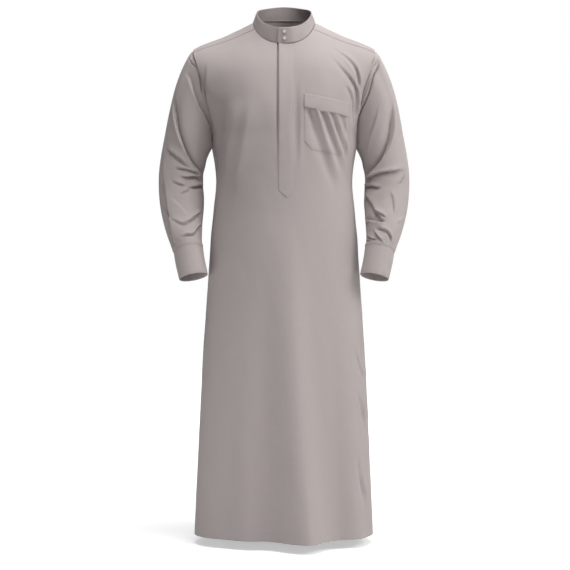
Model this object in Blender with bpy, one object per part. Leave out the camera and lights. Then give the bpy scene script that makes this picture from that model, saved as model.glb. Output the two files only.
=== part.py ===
"""A men's thobe: a long, straight robe with a stand collar, a covered front placket, a chest pocket,
a shoulder yoke, and long sleeves with cuffs. It keeps the hollow shape of a worn robe.

Metres, +Z up. The front faces -Y and the wearer's left is +X. The origin is on the shoulder line, midway
between the two high shoulder points, where the wearer's shoulders and neck carry the robe.

The body's surface is drawn once, in pattern coordinates (across, up), and every piece that is cut from it
or lies on it takes its points from there. The sleeves and cuffs are rings round the arms.
"""

import math

import bmesh
import bpy
import numpy as np
from mathutils import Matrix, Vector
from mathutils.geometry import delaunay_2d_cdt

MM = 0.001

# Driving sizes, in metres.
SEAM_GAP = 0.30 * MM  # between two pieces that are sewn together
CLOTH = 1.6 * MM  # wall of the body and sleeves
DOUBLED = 1.4 * MM  # wall of the placket, pocket and flap
STAND = 2.2 * MM  # wall of the collar and cuffs, which hold interlining
LAP = STAND + DOUBLED + 2 * SEAM_GAP  # how far the collar's lapped end stands off the neckline

HEM_Z = -1.372
ARMPIT_Z = -0.295
SHOULDER_X = 0.2445  # half of the shoulder width, at the armhole seams
NECK_POINT_Z = 0.042  # where the two shoulder lines would meet over the neck
NECK_ROUNDING = 0.080  # the lines are rounded off this far from the middle
SHOULDER_SLOPE = 0.4385
SHOULDER_ROUNDING = 0.004
SHOULDER_SAG = 0.0036  # the shoulder line hollows a little between the neck and the sleeve

# Pattern coordinates: across runs from -HALF_PATTERN to HALF_PATTERN between the side seams or armholes. Up
# is the height over the armpit line below that line, and ARCH_RADIUS times the arch angle above it.
HALF_PATTERN = 0.280
ARCH_RADIUS = 0.300
RIDGE = ARCH_RADIUS * math.pi / 2

FRONT, BACK = -1, 1
CHEST_FALL = 1.35  # how quickly the upper chest slopes back to the neck
ARMHOLE_DEPTH = {FRONT: 0.062, BACK: 0.060}
ARMHOLE_FULLNESS = 0.8

# Half widths and depths of the body, in mm, from the armpit line down to the hem.
BODY_COLUMNS = ("height", "half_width", "front_depth", "back_depth")
BODY_SECTIONS = (
    (-295, 199, 132, 126),
    (-335, 195, 132, 125),
    (-375, 188, 131, 121),
    (-420, 184, 129, 117),
    (-500, 190, 128, 117),
    (-560, 196, 129, 121),
    (-650, 202, 131, 130),
    (-750, 209, 134, 139),
    (-850, 216, 137, 146),
    (-1000, 224, 141, 155),
    (-1150, 231, 145, 163),
    (-1300, 238, 149, 170),
    (-1372, 241, 151, 173),
)

# Half width between the armhole edges, in mm, against the rise from the armpit (0) to the shoulder (1).
ARMHOLE_COLUMNS = ("rise", "half_width")
ARMHOLE_EDGE = (
    (0.00, 199),
    (0.12, 198),
    (0.28, 201),
    (0.48, 210),
    (0.72, 227),
    (0.90, 239),
    (1.00, 244.5),
)

# Folds, in mm. A row is a soft ridge from start to end, or a trough where its height is below 0. Bow
# carries its middle sideways, lean makes one flank steeper, and an open end grows all the way to the hem.
# Columns: x0, z0, x1, z1, bow, width, lean, height, open_end.
FRONT_FOLDS = (
    # The skirt's long ridge, with the hollows on its two sides.
    (10, -520, 66, -1372, 8, 44, 0.20, 54, 1),
    (-34, -600, -30, -1372, 0, 40, 0.00, -9, 1),
    (122, -640, 148, -1372, 6, 32, 0.10, -7, 1),
    (-128, -700, -152, -1372, 0, 40, 0.00, -9, 1),
    (172, -700, 196, -1372, 4, 24, 0.20, 10, 1),
    # Falls from the chest towards the waist, on the wearer's right.
    (-123, -236, -181, -560, 11, 15, 0.20, -5.5, 0),
    (-96, -240, -150, -580, 9, 16, 0.20, -5.0, 0),
    # Falls out of the pocket, on the wearer's left.
    (72, -220, 150, -600, -14, 16, 0.20, -5.0, 0),
    (100, -230, 172, -560, -12, 15, 0.20, 5.0, 0),
    # Drags from the neck and shoulder down to the front of the armhole, on the wearer's left.
    (112, -56, 190, -300, -34, 12, 0.20, -5.0, 0),
    (150, -56, 206, -250, -14, 12, -0.20, 4.0, 0),
    # Beside the armhole, on the wearer's right.
    (-204, -100, -190, -290, -5, 12, 0.20, -4.0, 0),
)
BACK_FOLDS = (
    (-10, -440, -28, -1372, 8, 46, 0.10, 26, 1),
    (-92, -500, -124, -1372, -4, 40, 0.10, -14, 1),
    (74, -500, 92, -1372, 6, 42, -0.10, -14, 1),
    (150, -600, 172, -1372, 4, 30, 0.10, 16, 1),
    (-164, -620, -186, -1372, -4, 30, 0.10, 16, 1),
    (-158, -176, -70, -350, -16, 15, 0.20, -5.0, 0),
    (160, -180, 66, -370, 16, 15, -0.20, -5.0, 0),
    (-132, -300, -36, -480, -16, 18, 0.20, 5.0, 0),
    (130, -310, 44, -490, 16, 18, -0.20, 4.6, 0),
    (-70, -440, 76, -458, -8, 16, 0.10, -4.4, 0),
    (-100, -500, 92, -520, -9, 19, 0.10, 4.2, 0),
)

# Neck, yoke and collar. The arch angle is 0 at the armpit line and 90 on the shoulder line.
NECK_HALF_WIDTH = 0.0845
NECK_FRONT_ANGLE = math.radians(46.7)
NECK_FULLNESS = 1.1  # how far the front of the neckline fills out from a point towards a round
NECK_FRONT_Z = -0.062  # close to where that puts the centre front
NECK_BACK_ANGLE = math.radians(72.5)
YOKE_FRONT_ANGLE = {"neck": math.radians(66.8), "armhole": math.radians(71.5)}
YOKE_BACK_Z = -0.142
HALF_NECK = math.asin(NECK_HALF_WIDTH / SHOULDER_X) / (math.pi / 2) * HALF_PATTERN
COLLAR_TOP_HALF_WIDTH = 0.0738
COLLAR_TOP_FRONT = (-0.0765, -0.0200)  # y and z at the centre front
COLLAR_TOP_BACK = (0.0335, 0.0545)
COLLAR_SIDE_RISE = 0.0115
COLLAR_LAP_X = -0.0165  # the lapped end's free edge
COLLAR_UNDERLAP_X = 0.0150
COLLAR_LAP_TURN, COLLAR_LAP_BLEND = math.radians(25.0), math.radians(20.0)

# Placket, pocket and flap, as seen from the front, in mm: corners anticlockwise from the upper left.
PLACKET_LEFT, PLACKET_RIGHT = -14.5 * MM, 25.0 * MM
PLACKET_SHOULDER_Z, PLACKET_TIP_X, PLACKET_TIP_Z = -0.4550, 8.0 * MM, -0.4740
SLIT_X, SLIT_WIDTH, SLIT_END_Z = 4.0 * MM, 1.2 * MM, -0.440
POCKET = ((52, -202), (52, -325), (71, -347), (147, -361), (166, -342), (166, -221))
FLAP_DROP_LEFT, FLAP_DROP_RIGHT = 37.5 * MM, 36.5 * MM

# Sleeve rings, in mm, from the armhole to the cuff seam, for the wearer's left arm. The outer and inner
# points are seen from the front; the centre's y and the half depth give the ring its place and fullness.
ARM_COLUMNS = ("outer_x", "outer_z", "inner_x", "inner_z", "centre_y", "half_depth")
ARM_RINGS = (
    (244.5, -69, 199, -295, 0, 61),
    (259, -88, 203, -304, 0, 62.5),
    (275, -120, 205, -315, 0, 63.5),
    (290, -160, 205, -328, 1, 64),
    (302, -204, 206, -342, 3, 64),
    (312.5, -250, 208.5, -360, 5, 63),
    (322, -298, 213, -380, 7, 62),
    (331.5, -348, 218, -402, 8, 61),
    (338, -396, 219, -424, 8, 59.5),
    (338.5, -440, 217, -452, 5, 57.5),
    (334.5, -485, 216, -487, -4, 56),
    (326, -527, 218, -521, -16, 54),
    (314, -567, 220, -556, -30, 51.5),
    (302, -597, 220, -585, -40, 47),
    (294.5, -616, 216.5, -600, -47, 41),
    (290, -638, 212.5, -624, -53, 40),
    (284, -664, 207, -650, -60, 39),
    (278, -689, 202, -673, -66, 38),
)
CUFF_RINGS = 3  # the last ones of the table are the cuff's, and it starts at the one before them
ARMHOLE_GAP = 2 * SEAM_GAP  # sideways, because the seam runs on a slant to it
SLEEVE_BLEND = 0.30  # share of the sleeve over which the armhole's outline turns into the arm's round

# Sleeve folds: around in degrees (0 outer edge, 90 front, 180 towards the body, 270 back) and down in mm
# from the armhole. A degree is close to a millimetre of cloth.
# Columns: a0, d0, a1, d1, bow, width, lean, height, open_end.
LEFT_SLEEVE_FOLDS = (
    (30, 40, 158, 262, -42, 13, 0.35, -5.0, 0),
    (20, 120, 120, 236, -26, 14, 0.20, 4.5, 0),
    (170, 268, 40, 252, -10, 8, 0.30, -5.5, 0),
    (186, 290, 76, 288, 8, 8, 0.20, 4.5, 0),
    (196, 306, 110, 308, 6, 7.5, 0.20, -5.0, 0),
    (180, 334, 70, 322, -10, 9, 0.20, 4.0, 0),
    (176, 356, 96, 384, 8, 8, 0.20, -4.0, 0),
    (170, 412, 84, 392, 10, 8, 0.20, 3.8, 0),
    (182, 402, 110, 430, -8, 7, 0.20, -3.8, 0),
    (330, 150, 230, 262, 30, 14, 0.20, -4.5, 0),
    (190, 282, 300, 262, 10, 10, 0.20, -5.0, 0),
    (196, 322, 290, 330, -8, 10, 0.20, 4.0, 0),
    (200, 366, 300, 384, 8, 11, 0.20, -3.6, 0),
    (16, 20, 30, 330, 6, 12, 0.20, 3.2, 0),
)
RIGHT_SLEEVE_FOLDS = (
    (36, 60, 162, 268, -36, 13, 0.30, -5.0, 0),
    (24, 150, 112, 250, -20, 13, 0.20, 4.2, 0),
    (34, 214, 92, 246, 6, 8, 0.20, -4.0, 0),
    (176, 278, 66, 262, -8, 8, 0.30, -5.0, 0),
    (188, 298, 90, 292, 8, 7.5, 0.20, 4.5, 0),
    (194, 316, 104, 322, 6, 7.5, 0.20, -4.8, 0),
    (182, 346, 78, 336, -9, 9, 0.20, 3.8, 0),
    (60, 356, 150, 392, 14, 8, 0.20, -4.2, 0),
    (172, 396, 92, 404, -8, 8, 0.20, 3.8, 0),
    (180, 414, 96, 430, 6, 7, 0.20, -3.6, 0),
    (330, 160, 232, 266, 30, 14, 0.20, -4.5, 0),
    (192, 286, 304, 270, 10, 10, 0.20, -5.0, 0),
    (200, 330, 292, 336, -8, 10, 0.20, 4.0, 0),
    (44, 120, 50, 430, -5, 11, 0.30, 3.4, 0),
)

# Snaps on the collar's lapped end.
SNAP_RADIUS, SNAP_HEIGHT, SNAP_RIM = 5.8 * MM, 2.1 * MM, 1.5 * MM
SNAP_X = 1.0 * MM
SNAP_SHARES = (0.73, 0.32)  # their places up the collar

# How finely the solids are drawn, in metres of pattern or in counts.
FRONT_STEP, FRONT_SKIRT_STEP = 0.024, 0.060
BACK_STEP, BACK_SKIRT_STEP = 0.032, 0.095
YOKE_STEP = 0.030
SKIRT_TOP_Z = -0.560
FOLD_STEP = 0.030  # between the points set along a fold
WIDE_FOLD = 20  # a fold that is wider than this, in mm, is drawn well enough by the lattice alone
ARMHOLE_STATIONS = 13  # on each side of the shoulder
YOKE_SEAM_STATION = 10  # the station at the yoke's front seam
BACK_YOKE_STATION = 7  # the same on the back
SLEEVE_RING_RUNS = ((0.0, 0.42, 7), (0.42, 0.80, 15), (0.80, 1.0, 4))  # from, to and count, as shares
CUFF_STATIONS = 28
SNAP_SEGMENTS = 16
EDGE_SHARE = 0.42  # an inner point is at least this share of a step from a piece's edge
FINGER = 0.010  # a small step, for slopes taken by differences


# ---------------------------------------------------------------- curves and folds


def column(rows, names, name):
    """One named column of a table, as numbers."""
    return np.array([row[names.index(name)] for row in rows], float)


def curve_through(stations, values):
    """A smooth curve through the points of a table, as a function of the station."""
    order = np.argsort(stations)
    stations, values = np.asarray(stations)[order], np.asarray(values)[order]
    slopes = np.gradient(values, stations)

    def at(x):
        x = np.clip(x, stations[0], stations[-1])
        i = np.clip(np.searchsorted(stations, x, side="right") - 1, 0, len(stations) - 2)
        step = stations[i + 1] - stations[i]
        t = (x - stations[i]) / step
        ends = values[i] * (2 * t**3 - 3 * t**2 + 1) + values[i + 1] * (3 * t**2 - 2 * t**3)
        return ends + step * (slopes[i] * (t**3 - 2 * t**2 + t) + slopes[i + 1] * (t**3 - t**2))

    return at


def smooth_step(t):
    t = np.clip(t, 0, 1)
    return t * t * (3 - 2 * t)


def fold_height(x, y, rows, turn=None):
    """How far a table of folds lifts the cloth, in metres. x and y are in the table's own units. A fold with
    an open end grows all the way to it, and any other fades at both ends."""
    height = np.zeros_like(x)
    for x0, y0, x1, y1, bow, width, lean, rise, open_end in rows:
        length = math.hypot(x1 - x0, y1 - y0)
        along = np.array((x1 - x0, y1 - y0)) / length
        from_x = x - x0
        if turn:
            from_x = (from_x - (x1 - x0) / 2 + turn / 2) % turn - turn / 2 + (x1 - x0) / 2
        t = (from_x * along[0] + (y - y0) * along[1]) / length
        inside = np.clip(t, 0, 1)
        aside = from_x * along[1] - (y - y0) * along[0] - bow * 4 * inside * (1 - inside)
        flank = width * (1 + lean * np.sign(aside))
        fade = np.clip(t, 0, 1) if open_end else smooth_step(t / 0.35) * smooth_step((1 - t) / 0.35)
        height += rise * MM * np.exp(-((aside / flank) ** 2)) * fade
    return height


# ---------------------------------------------------------------- the body's surface

SECTION_HEIGHTS = column(BODY_SECTIONS, BODY_COLUMNS, "height") * MM
body_half_width = curve_through(SECTION_HEIGHTS, column(BODY_SECTIONS, BODY_COLUMNS, "half_width") * MM)
body_depth = {
    FRONT: curve_through(SECTION_HEIGHTS, column(BODY_SECTIONS, BODY_COLUMNS, "front_depth") * MM),
    BACK: curve_through(SECTION_HEIGHTS, column(BODY_SECTIONS, BODY_COLUMNS, "back_depth") * MM),
}
armhole_half_width = curve_through(
    column(ARMHOLE_EDGE, ARMHOLE_COLUMNS, "rise"),
    column(ARMHOLE_EDGE, ARMHOLE_COLUMNS, "half_width") * MM,
)


def shoulder_line(x):
    """Height of the shoulder line at a distance x from the middle."""
    x = np.where(np.abs(x) < NECK_ROUNDING, x**2 / (2 * NECK_ROUNDING) + NECK_ROUNDING / 2, np.abs(x))
    t = np.clip((x - NECK_HALF_WIDTH) / (SHOULDER_X - NECK_HALF_WIDTH), 0, 1)
    hollow = SHOULDER_SAG * np.sin(math.pi * t) ** 2 + SHOULDER_ROUNDING * t**8
    return NECK_POINT_Z - SHOULDER_SLOPE * x - hollow


def plain_body(across, up, side):
    """The smooth body, without folds: points for pattern coordinates on the front or the back."""
    turn = across / HALF_PATTERN * math.pi / 2
    sine, cosine = np.sin(turn), np.cos(turn)
    arch = np.clip(up / ARCH_RADIUS, 0, math.pi / 2)
    rise = np.sin(arch)
    above = up > 0

    level = np.minimum(up, 0) + ARMPIT_Z
    half = np.where(above, armhole_half_width(rise), body_half_width(level))
    fall = CHEST_FALL if side == FRONT else 1.0
    middle = np.where(above, body_depth[side](ARMPIT_Z) * np.cos(arch) ** fall, body_depth[side](level))
    edge = ARMHOLE_DEPTH[side] * np.sin(2 * arch) ** ARMHOLE_FULLNESS
    edge = np.where(above, edge, 0)

    x = half * sine
    y = side * (edge + (middle - edge) * cosine)
    ridge = shoulder_line(SHOULDER_X * sine)
    z = np.where(above, ARMPIT_Z + (ridge - ARMPIT_Z) * rise, level)
    return np.stack([x, y, z], axis=-1)


def body(across, up, side, out=0.0):
    """Points on the robe's body, with its folds, moved out by a distance."""
    across, up = np.asarray(across, float), np.asarray(up, float)
    point = plain_body(across, up, side)
    low = np.maximum(up - FINGER, HEM_Z - ARMPIT_Z - FINGER)
    high = np.minimum(up + FINGER, RIDGE - MM)
    left = np.maximum(across - FINGER, -HALF_PATTERN)
    right = np.minimum(across + FINGER, HALF_PATTERN)
    along_x = plain_body(right, up, side) - plain_body(left, up, side)
    along_z = plain_body(across, high, side) - plain_body(across, np.minimum(low, high - MM), side)
    normal = -side * np.cross(along_x, along_z)
    normal /= np.linalg.norm(normal, axis=-1, keepdims=True)
    folds = fold_height(point[..., 0] / MM, point[..., 2] / MM, FRONT_FOLDS if side == FRONT else BACK_FOLDS)
    near_seam = smooth_step((HALF_PATTERN - np.abs(across)) / 0.022)
    return point + normal * (folds * near_seam + out)[..., None]


def on_front(points, out):
    return body(points[:, 0], points[:, 1], FRONT, out)


def on_back(points, out):
    """The back's pattern is seen from behind, so that its across runs towards the wearer's right."""
    return body(-points[:, 0], points[:, 1], BACK, out)


def on_yoke(points, out):
    """The yoke's up is 0 on the shoulder line, below 0 in front of it and above 0 behind it."""
    across, up = points[..., 0], points[..., 1]
    front = body(across, RIDGE + np.minimum(up, 0), FRONT, out)
    back = body(across, RIDGE - np.maximum(up, 0), BACK, out)
    return np.where(up[..., None] < 0, front, back)


def pattern_of(x, z, side=FRONT):
    """Pattern coordinates of the place that is seen at x and z from the front or behind, found by small
    corrections."""
    x, z = np.asarray(x, float), np.asarray(z, float)
    across, up = x * HALF_PATTERN / SHOULDER_X, z - ARMPIT_Z
    for _ in range(60):
        point = plain_body(across, up, side)
        across = np.clip(across + (x - point[..., 0]) * 0.7, -HALF_PATTERN, HALF_PATTERN)
        up = np.minimum(up + (z - point[..., 2]) * 0.7, RIDGE)
    return np.stack([across, up], axis=-1)


def fold_points(rows, side):
    """Pattern points along each narrow fold of a table: on its crest and at the foot of both flanks."""
    places = []
    for x0, z0, x1, z1, bow, width, *_ in rows:
        if width > WIDE_FOLD:
            continue
        length = math.hypot(x1 - x0, z1 - z0)
        along = np.array((x1 - x0, z1 - z0)) / length
        t = spaced(0.02, 0.98, FOLD_STEP / MM / length)
        for aside in (-1.2 * width, 0, 1.2 * width):
            shift = aside + bow * 4 * t * (1 - t)
            x = x0 + (x1 - x0) * t + shift * along[1]
            places.append(np.stack([x, z0 + (z1 - z0) * t - shift * along[0]], axis=-1))
    places = np.concatenate(places) * MM
    places = places[np.abs(places[:, 0]) < body_half_width(np.minimum(places[:, 1], ARMPIT_Z)) * 0.985]
    points = pattern_of(places[:, 0], places[:, 1], side)
    return points if side == FRONT else points * np.array((-1, 1))


# ---------------------------------------------------------------- sheets cut in pattern coordinates


def spaced(start, end, step):
    """Even stations from start to end, about a step apart."""
    count = max(1, round(abs(end - start) / step))
    return np.linspace(start, end, count + 1)


def joined(*runs):
    """One closed outline from runs of points that follow each other, without repeated corners."""
    points = np.concatenate([np.asarray(run, float).reshape(-1, 2) for run in runs])
    apart = np.linalg.norm(points - np.roll(points, 1, axis=0), axis=1)
    return points[apart > 0.02 * MM]


def edge_distance(points, outline):
    """Each point's distance to an outline, and whether it is inside."""
    start, end = outline, np.roll(outline, -1, axis=0)
    run = end - start
    from_start = points[:, None] - start[None]
    t = np.clip((from_start * run).sum(-1) / (run**2).sum(-1), 0, 1)
    distance = np.linalg.norm(from_start - t[..., None] * run, axis=-1).min(axis=1)
    crosses = (start[None, :, 1] > points[:, None, 1]) != (end[None, :, 1] > points[:, None, 1])
    with np.errstate(divide="ignore", invalid="ignore"):
        reach = start[:, 0] + (points[:, None, 1] - start[:, 1]) / run[:, 1] * run[:, 0]
    inside = (crosses & (points[:, None, 0] < reach)).sum(axis=1) % 2 == 1
    return distance, inside


def clear_of(points, outline, lines, least):
    """The points that are inside an outline and at least so far from it and from the lines drawn inside it."""
    distance, inside = edge_distance(points, outline)
    keep = inside & (distance > least)
    for line in lines:
        keep &= edge_distance(points, line)[0] > least
    return points[keep]


def lattice(outline, rows, step, lines=(), folds=None):
    """Staggered points inside an outline, with points along its folds in place of those that are near them."""
    low, high = outline.min(axis=0), outline.max(axis=0)
    columns = np.arange(low[0] + step / 2, high[0], step)
    points = np.array([(x + (i % 2) * step / 2, y) for i, y in enumerate(rows) for x in columns])
    points = clear_of(points, outline, lines, EDGE_SHARE * step)
    if folds is None:
        return points
    kept = []
    for point in clear_of(folds, outline, lines, EDGE_SHARE * step / 2):
        if all(math.dist(point, other) > EDGE_SHARE * step for other in kept):
            kept.append(tuple(point))
    kept = np.array(kept)
    apart = np.linalg.norm(points[:, None] - kept[None], axis=2).min(axis=1)
    return np.concatenate([kept, points[apart > 1.6 * EDGE_SHARE * step]])


def triangles_in(outline, inner, lines=()):
    """Triangles that fill an outline, through the inner points and along the lines drawn inside it."""
    points = [Vector(p) for p in np.concatenate([outline, *lines, inner])]
    edges, start = [], 0
    for loop in (outline, *lines):
        edges += [(start + i, start + (i + 1) % len(loop)) for i in range(len(loop))]
        start += len(loop)
    found, _, faces = delaunay_2d_cdt(points, edges, [], 1, 1e-7)[:3]
    return np.array([tuple(p) for p in found]), np.array(faces)


def part_of(sheet, outline):
    """The triangles of a sheet that lie inside an outline drawn on it."""
    points, faces = sheet
    chosen = faces[edge_distance(points[faces].mean(axis=1), outline)[1]]
    used, index = np.unique(chosen, return_inverse=True)
    return points[used], index.reshape(chosen.shape)


def wall(name, outer, inner, faces, material):
    """A closed solid between an outer and an inner copy of the same faces."""
    edges = np.concatenate([faces[:, [i, (i + 1) % faces.shape[1]]] for i in range(faces.shape[1])])
    _, first, uses = np.unique(np.sort(edges, axis=1), axis=0, return_index=True, return_counts=True)
    rim = edges[first[uses == 1]]
    count = len(outer)
    sides = np.column_stack([rim[:, 1], rim[:, 0], rim[:, 0] + count, rim[:, 1] + count])
    mesh = bpy.data.meshes.new(name)
    every = [*faces.tolist(), *(faces[:, ::-1] + count).tolist(), *sides.tolist()]
    mesh.from_pydata(np.concatenate([outer, inner]).tolist(), [], every)
    mesh.materials.append(material)
    mesh.validate()
    thing = bpy.data.objects.new(name, mesh)
    bpy.context.scene.collection.objects.link(thing)
    mesh.shade_smooth()
    mesh.set_sharp_from_angle(angle=math.radians(50))
    return thing


def panel(name, sheet, place, thickness, material, lift=0.0):
    """A cut piece: a sheet of pattern triangles as a cloth wall whose outer face is lifted off the body."""
    points, faces = sheet
    return wall(name, place(points, lift), place(points, lift - thickness), faces, material)


# ---------------------------------------------------------------- outlines of the cut pieces


def body_rows(step, skirt_step):
    """Heights of the lattice rows: close together down to the hip, and further apart on the skirt."""
    hem, hip = HEM_Z - ARMPIT_Z, SKIRT_TOP_Z - ARMPIT_Z
    runs = spaced(hem, hip, skirt_step)[:-1], spaced(hip, 0, step)[:-1], spaced(0, RIDGE, step)
    return np.concatenate(runs)


FRONT_ROWS, BACK_ROWS = body_rows(FRONT_STEP, FRONT_SKIRT_STEP), body_rows(BACK_STEP, BACK_SKIRT_STEP)


def yoke_front_up(across):
    """Where the yoke's front seam crosses the pattern: it runs down a little towards the neck."""
    t = (HALF_PATTERN - np.abs(np.asarray(across, float))) / (HALF_PATTERN - HALF_NECK)
    drop = YOKE_FRONT_ANGLE["armhole"] - YOKE_FRONT_ANGLE["neck"]
    return ARCH_RADIUS * (YOKE_FRONT_ANGLE["armhole"] - drop * t)


def yoke_back_up(across):
    """Where the yoke's back seam crosses the pattern, level with YOKE_BACK_Z all the way."""
    sine = np.sin(np.asarray(across, float) / HALF_PATTERN * math.pi / 2)
    reach = shoulder_line(SHOULDER_X * sine) - ARMPIT_Z
    return ARCH_RADIUS * np.arcsin((YOKE_BACK_Z - ARMPIT_Z) / reach)


def armhole_ups(seam_up, seam_station):
    """Stations up one side of the armhole, with one at the yoke's seam."""
    above = np.linspace(seam_up, RIDGE, ARMHOLE_STATIONS - seam_station + 1)
    return np.concatenate([np.linspace(0, seam_up, seam_station + 1), above[1:]])


ARMHOLE_UPS = armhole_ups(float(yoke_front_up(HALF_PATTERN)), YOKE_SEAM_STATION)
BACK_ARMHOLE_UPS = armhole_ups(float(yoke_back_up(HALF_PATTERN)), BACK_YOKE_STATION)


def neckline(turn, gap=0.0):
    """Pattern point of the neckline at a turn round the neck: 0 front, 90 degrees left, 180 back. The up is
    measured from the shoulder line, as on the yoke. A gap moves the point away from the neck."""
    ahead = np.cos(turn)
    deep = np.where(ahead > 0, NECK_FRONT_ANGLE, NECK_BACK_ANGLE)
    fullness = np.where(ahead > 0, (1 + NECK_FULLNESS) / (1 + NECK_FULLNESS * np.maximum(ahead, 0)), 1)
    up = -(math.pi / 2 - deep) * ARCH_RADIUS * ahead * fullness
    across = HALF_NECK * np.sin(turn)
    return np.stack([across + gap * np.sin(turn), up - gap * ahead], axis=-1)


# At this turn round the neck, the neckline meets the yoke's front seam.
QUARTER_TURNS = np.linspace(0, math.pi / 2, 901)
QUARTER_UPS = neckline(QUARTER_TURNS)[:, 1] + RIDGE
YOKE_NECK_TURN = float(np.interp(float(yoke_front_up(HALF_NECK)), QUARTER_UPS, QUARTER_TURNS))
NECK_GAP = 2 * SEAM_GAP  # in pattern coordinates, which are drawn out near the neck
FRONT_NECK = np.linspace(-YOKE_NECK_TURN, YOKE_NECK_TURN, 21)
BACK_NECK = np.linspace(YOKE_NECK_TURN, 2 * math.pi - YOKE_NECK_TURN, 31)


def front_outline():
    """From the hem up the wearer's left side and armhole, along the yoke's seam, round the neck with a slit
    under the placket, and down the other side."""
    edge = HALF_PATTERN - SEAM_GAP
    neck = neckline(FRONT_NECK[::-1], NECK_GAP) + np.array((0, RIDGE))
    shoulder = spaced(edge, float(neck[0, 0]), FRONT_STEP)[:-1]
    seam = yoke_front_up(shoulder) - NECK_GAP
    side_ups = np.concatenate([FRONT_ROWS[FRONT_ROWS < -MM], ARMHOLE_UPS[:YOKE_SEAM_STATION]])
    slit_end = pattern_of(SLIT_X, SLIT_END_Z)[1]
    slit_left, slit_right = (pattern_of(SLIT_X + half * SLIT_WIDTH, SLIT_END_Z)[0] for half in (-0.5, 0.5))
    left_of_slit = neck[neck[:, 0] < slit_left - 2 * MM]
    right_of_slit = neck[neck[:, 0] > slit_right + 2 * MM]
    slit_top = neckline(np.arcsin(np.array((slit_right, slit_left)) / HALF_NECK), NECK_GAP)
    slit_ups = spaced(float(slit_top[0, 1]) + RIDGE, slit_end, 0.03)
    slit = [(slit_right, u) for u in slit_ups] + [(slit_left, u) for u in slit_ups[::-1]]
    return joined(
        [(x, HEM_Z - ARMPIT_Z) for x in spaced(-edge, edge, FRONT_STEP)],
        [(edge, u) for u in side_ups[1:]],
        np.stack([shoulder, seam], axis=-1),
        right_of_slit, slit, left_of_slit,
        np.stack([-shoulder, seam], axis=-1)[::-1],
        [(-edge, u) for u in side_ups[:0:-1]],
    )


def back_outline():
    """From the hem up one side, along the yoke's back seam, and down the other side."""
    edge = HALF_PATTERN - SEAM_GAP
    side_ups = np.concatenate([BACK_ROWS[BACK_ROWS < -MM], BACK_ARMHOLE_UPS[:BACK_YOKE_STATION]])
    across = spaced(edge, -edge, BACK_STEP)
    return joined(
        [(x, HEM_Z - ARMPIT_Z) for x in across[::-1]],
        [(edge, u) for u in side_ups[1:]],
        np.stack([across, yoke_back_up(across) - SEAM_GAP], axis=-1),
        [(-edge, u) for u in side_ups[:0:-1]],
    )


def yoke_outline():
    """From the front seam on one side of the neck, round the neck, and back along the armholes."""
    edge = HALF_PATTERN - SEAM_GAP
    neck = neckline(BACK_NECK[::-1], NECK_GAP)
    shoulder = spaced(edge, float(neck[-1, 0]), FRONT_STEP)[:-1]
    seam = yoke_front_up(shoulder) + NECK_GAP - RIDGE
    front_ups = ARMHOLE_UPS[YOKE_SEAM_STATION + 1:] - RIDGE
    armhole = np.concatenate([front_ups, RIDGE - BACK_ARMHOLE_UPS[BACK_YOKE_STATION + 1:-1][::-1]])
    across = spaced(edge, -edge, BACK_STEP)
    return joined(
        np.stack([-shoulder, seam], axis=-1), neck, np.stack([shoulder, seam], axis=-1)[::-1],
        [(edge, u) for u in armhole],
        np.stack([across, RIDGE - yoke_back_up(across) - SEAM_GAP], axis=-1),
        [(-edge, u) for u in armhole[::-1]],
    )


def seen_line(start, end, step):
    """Pattern points of a line on the front that looks straight from the front, up to its end."""
    (x0, z0), (x1, z1) = start, end
    count = max(1, round(math.hypot(x1 - x0, z1 - z0) / step))
    t = np.arange(count) / count
    return pattern_of(x0 + (x1 - x0) * t, z0 + (z1 - z0) * t)


def seen_outline(corners, step):
    """A closed outline on the front through corners given as seen from the front, in metres."""
    lines = [seen_line(start, end, step) for start, end in zip(corners, [*corners[1:], corners[0]])]
    return np.concatenate(lines)


def placket_outline():
    """From just under the collar down to a point. Its top follows the neckline."""
    across = pattern_of(spaced(PLACKET_RIGHT, PLACKET_LEFT, 0.007), NECK_FRONT_Z)[:, 0]
    top = neckline(np.arcsin(across / HALF_NECK), 4 * SEAM_GAP) + np.array((0, RIDGE))
    top_z = plain_body(top[:, 0], top[:, 1], FRONT)[:, 2]
    corners = [
        (PLACKET_LEFT, float(top_z[-1])), (PLACKET_LEFT, PLACKET_SHOULDER_Z), (PLACKET_TIP_X, PLACKET_TIP_Z),
        (PLACKET_RIGHT, PLACKET_SHOULDER_Z), (PLACKET_RIGHT, float(top_z[0])),
    ]
    edges = [seen_line(start, end, FRONT_STEP) for start, end in zip(corners, corners[1:])]
    return joined(edges[0][1:], *edges[1:], top)


def pocket_outline():
    return seen_outline([(x * MM, z * MM) for x, z in POCKET], 0.015)


def flap_outline():
    """The top of the pocket, down to a line a little over an inch below its top edge."""
    (left, top_left), (right, top_right) = POCKET[0], POCKET[-1]
    corners = [
        (left * MM, top_left * MM), (left * MM, top_left * MM - FLAP_DROP_LEFT),
        (right * MM, top_right * MM - FLAP_DROP_RIGHT), (right * MM, top_right * MM),
    ]
    return seen_outline(corners, 0.015)


# ---------------------------------------------------------------- collar


def collar_top(turn):
    """The collar's upper edge: an oval that is tilted down to the front."""
    back_share = (1 - np.cos(turn)) / 2
    y, z = (front + (back - front) * back_share for front, back in zip(COLLAR_TOP_FRONT, COLLAR_TOP_BACK))
    x = COLLAR_TOP_HALF_WIDTH * np.sin(turn)
    return np.stack([x, y, z + COLLAR_SIDE_RISE * np.sin(turn) ** 4], axis=-1)


def collar_base(turn):
    """The neckline in space."""
    return on_yoke(neckline(turn), 0.0)


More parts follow.
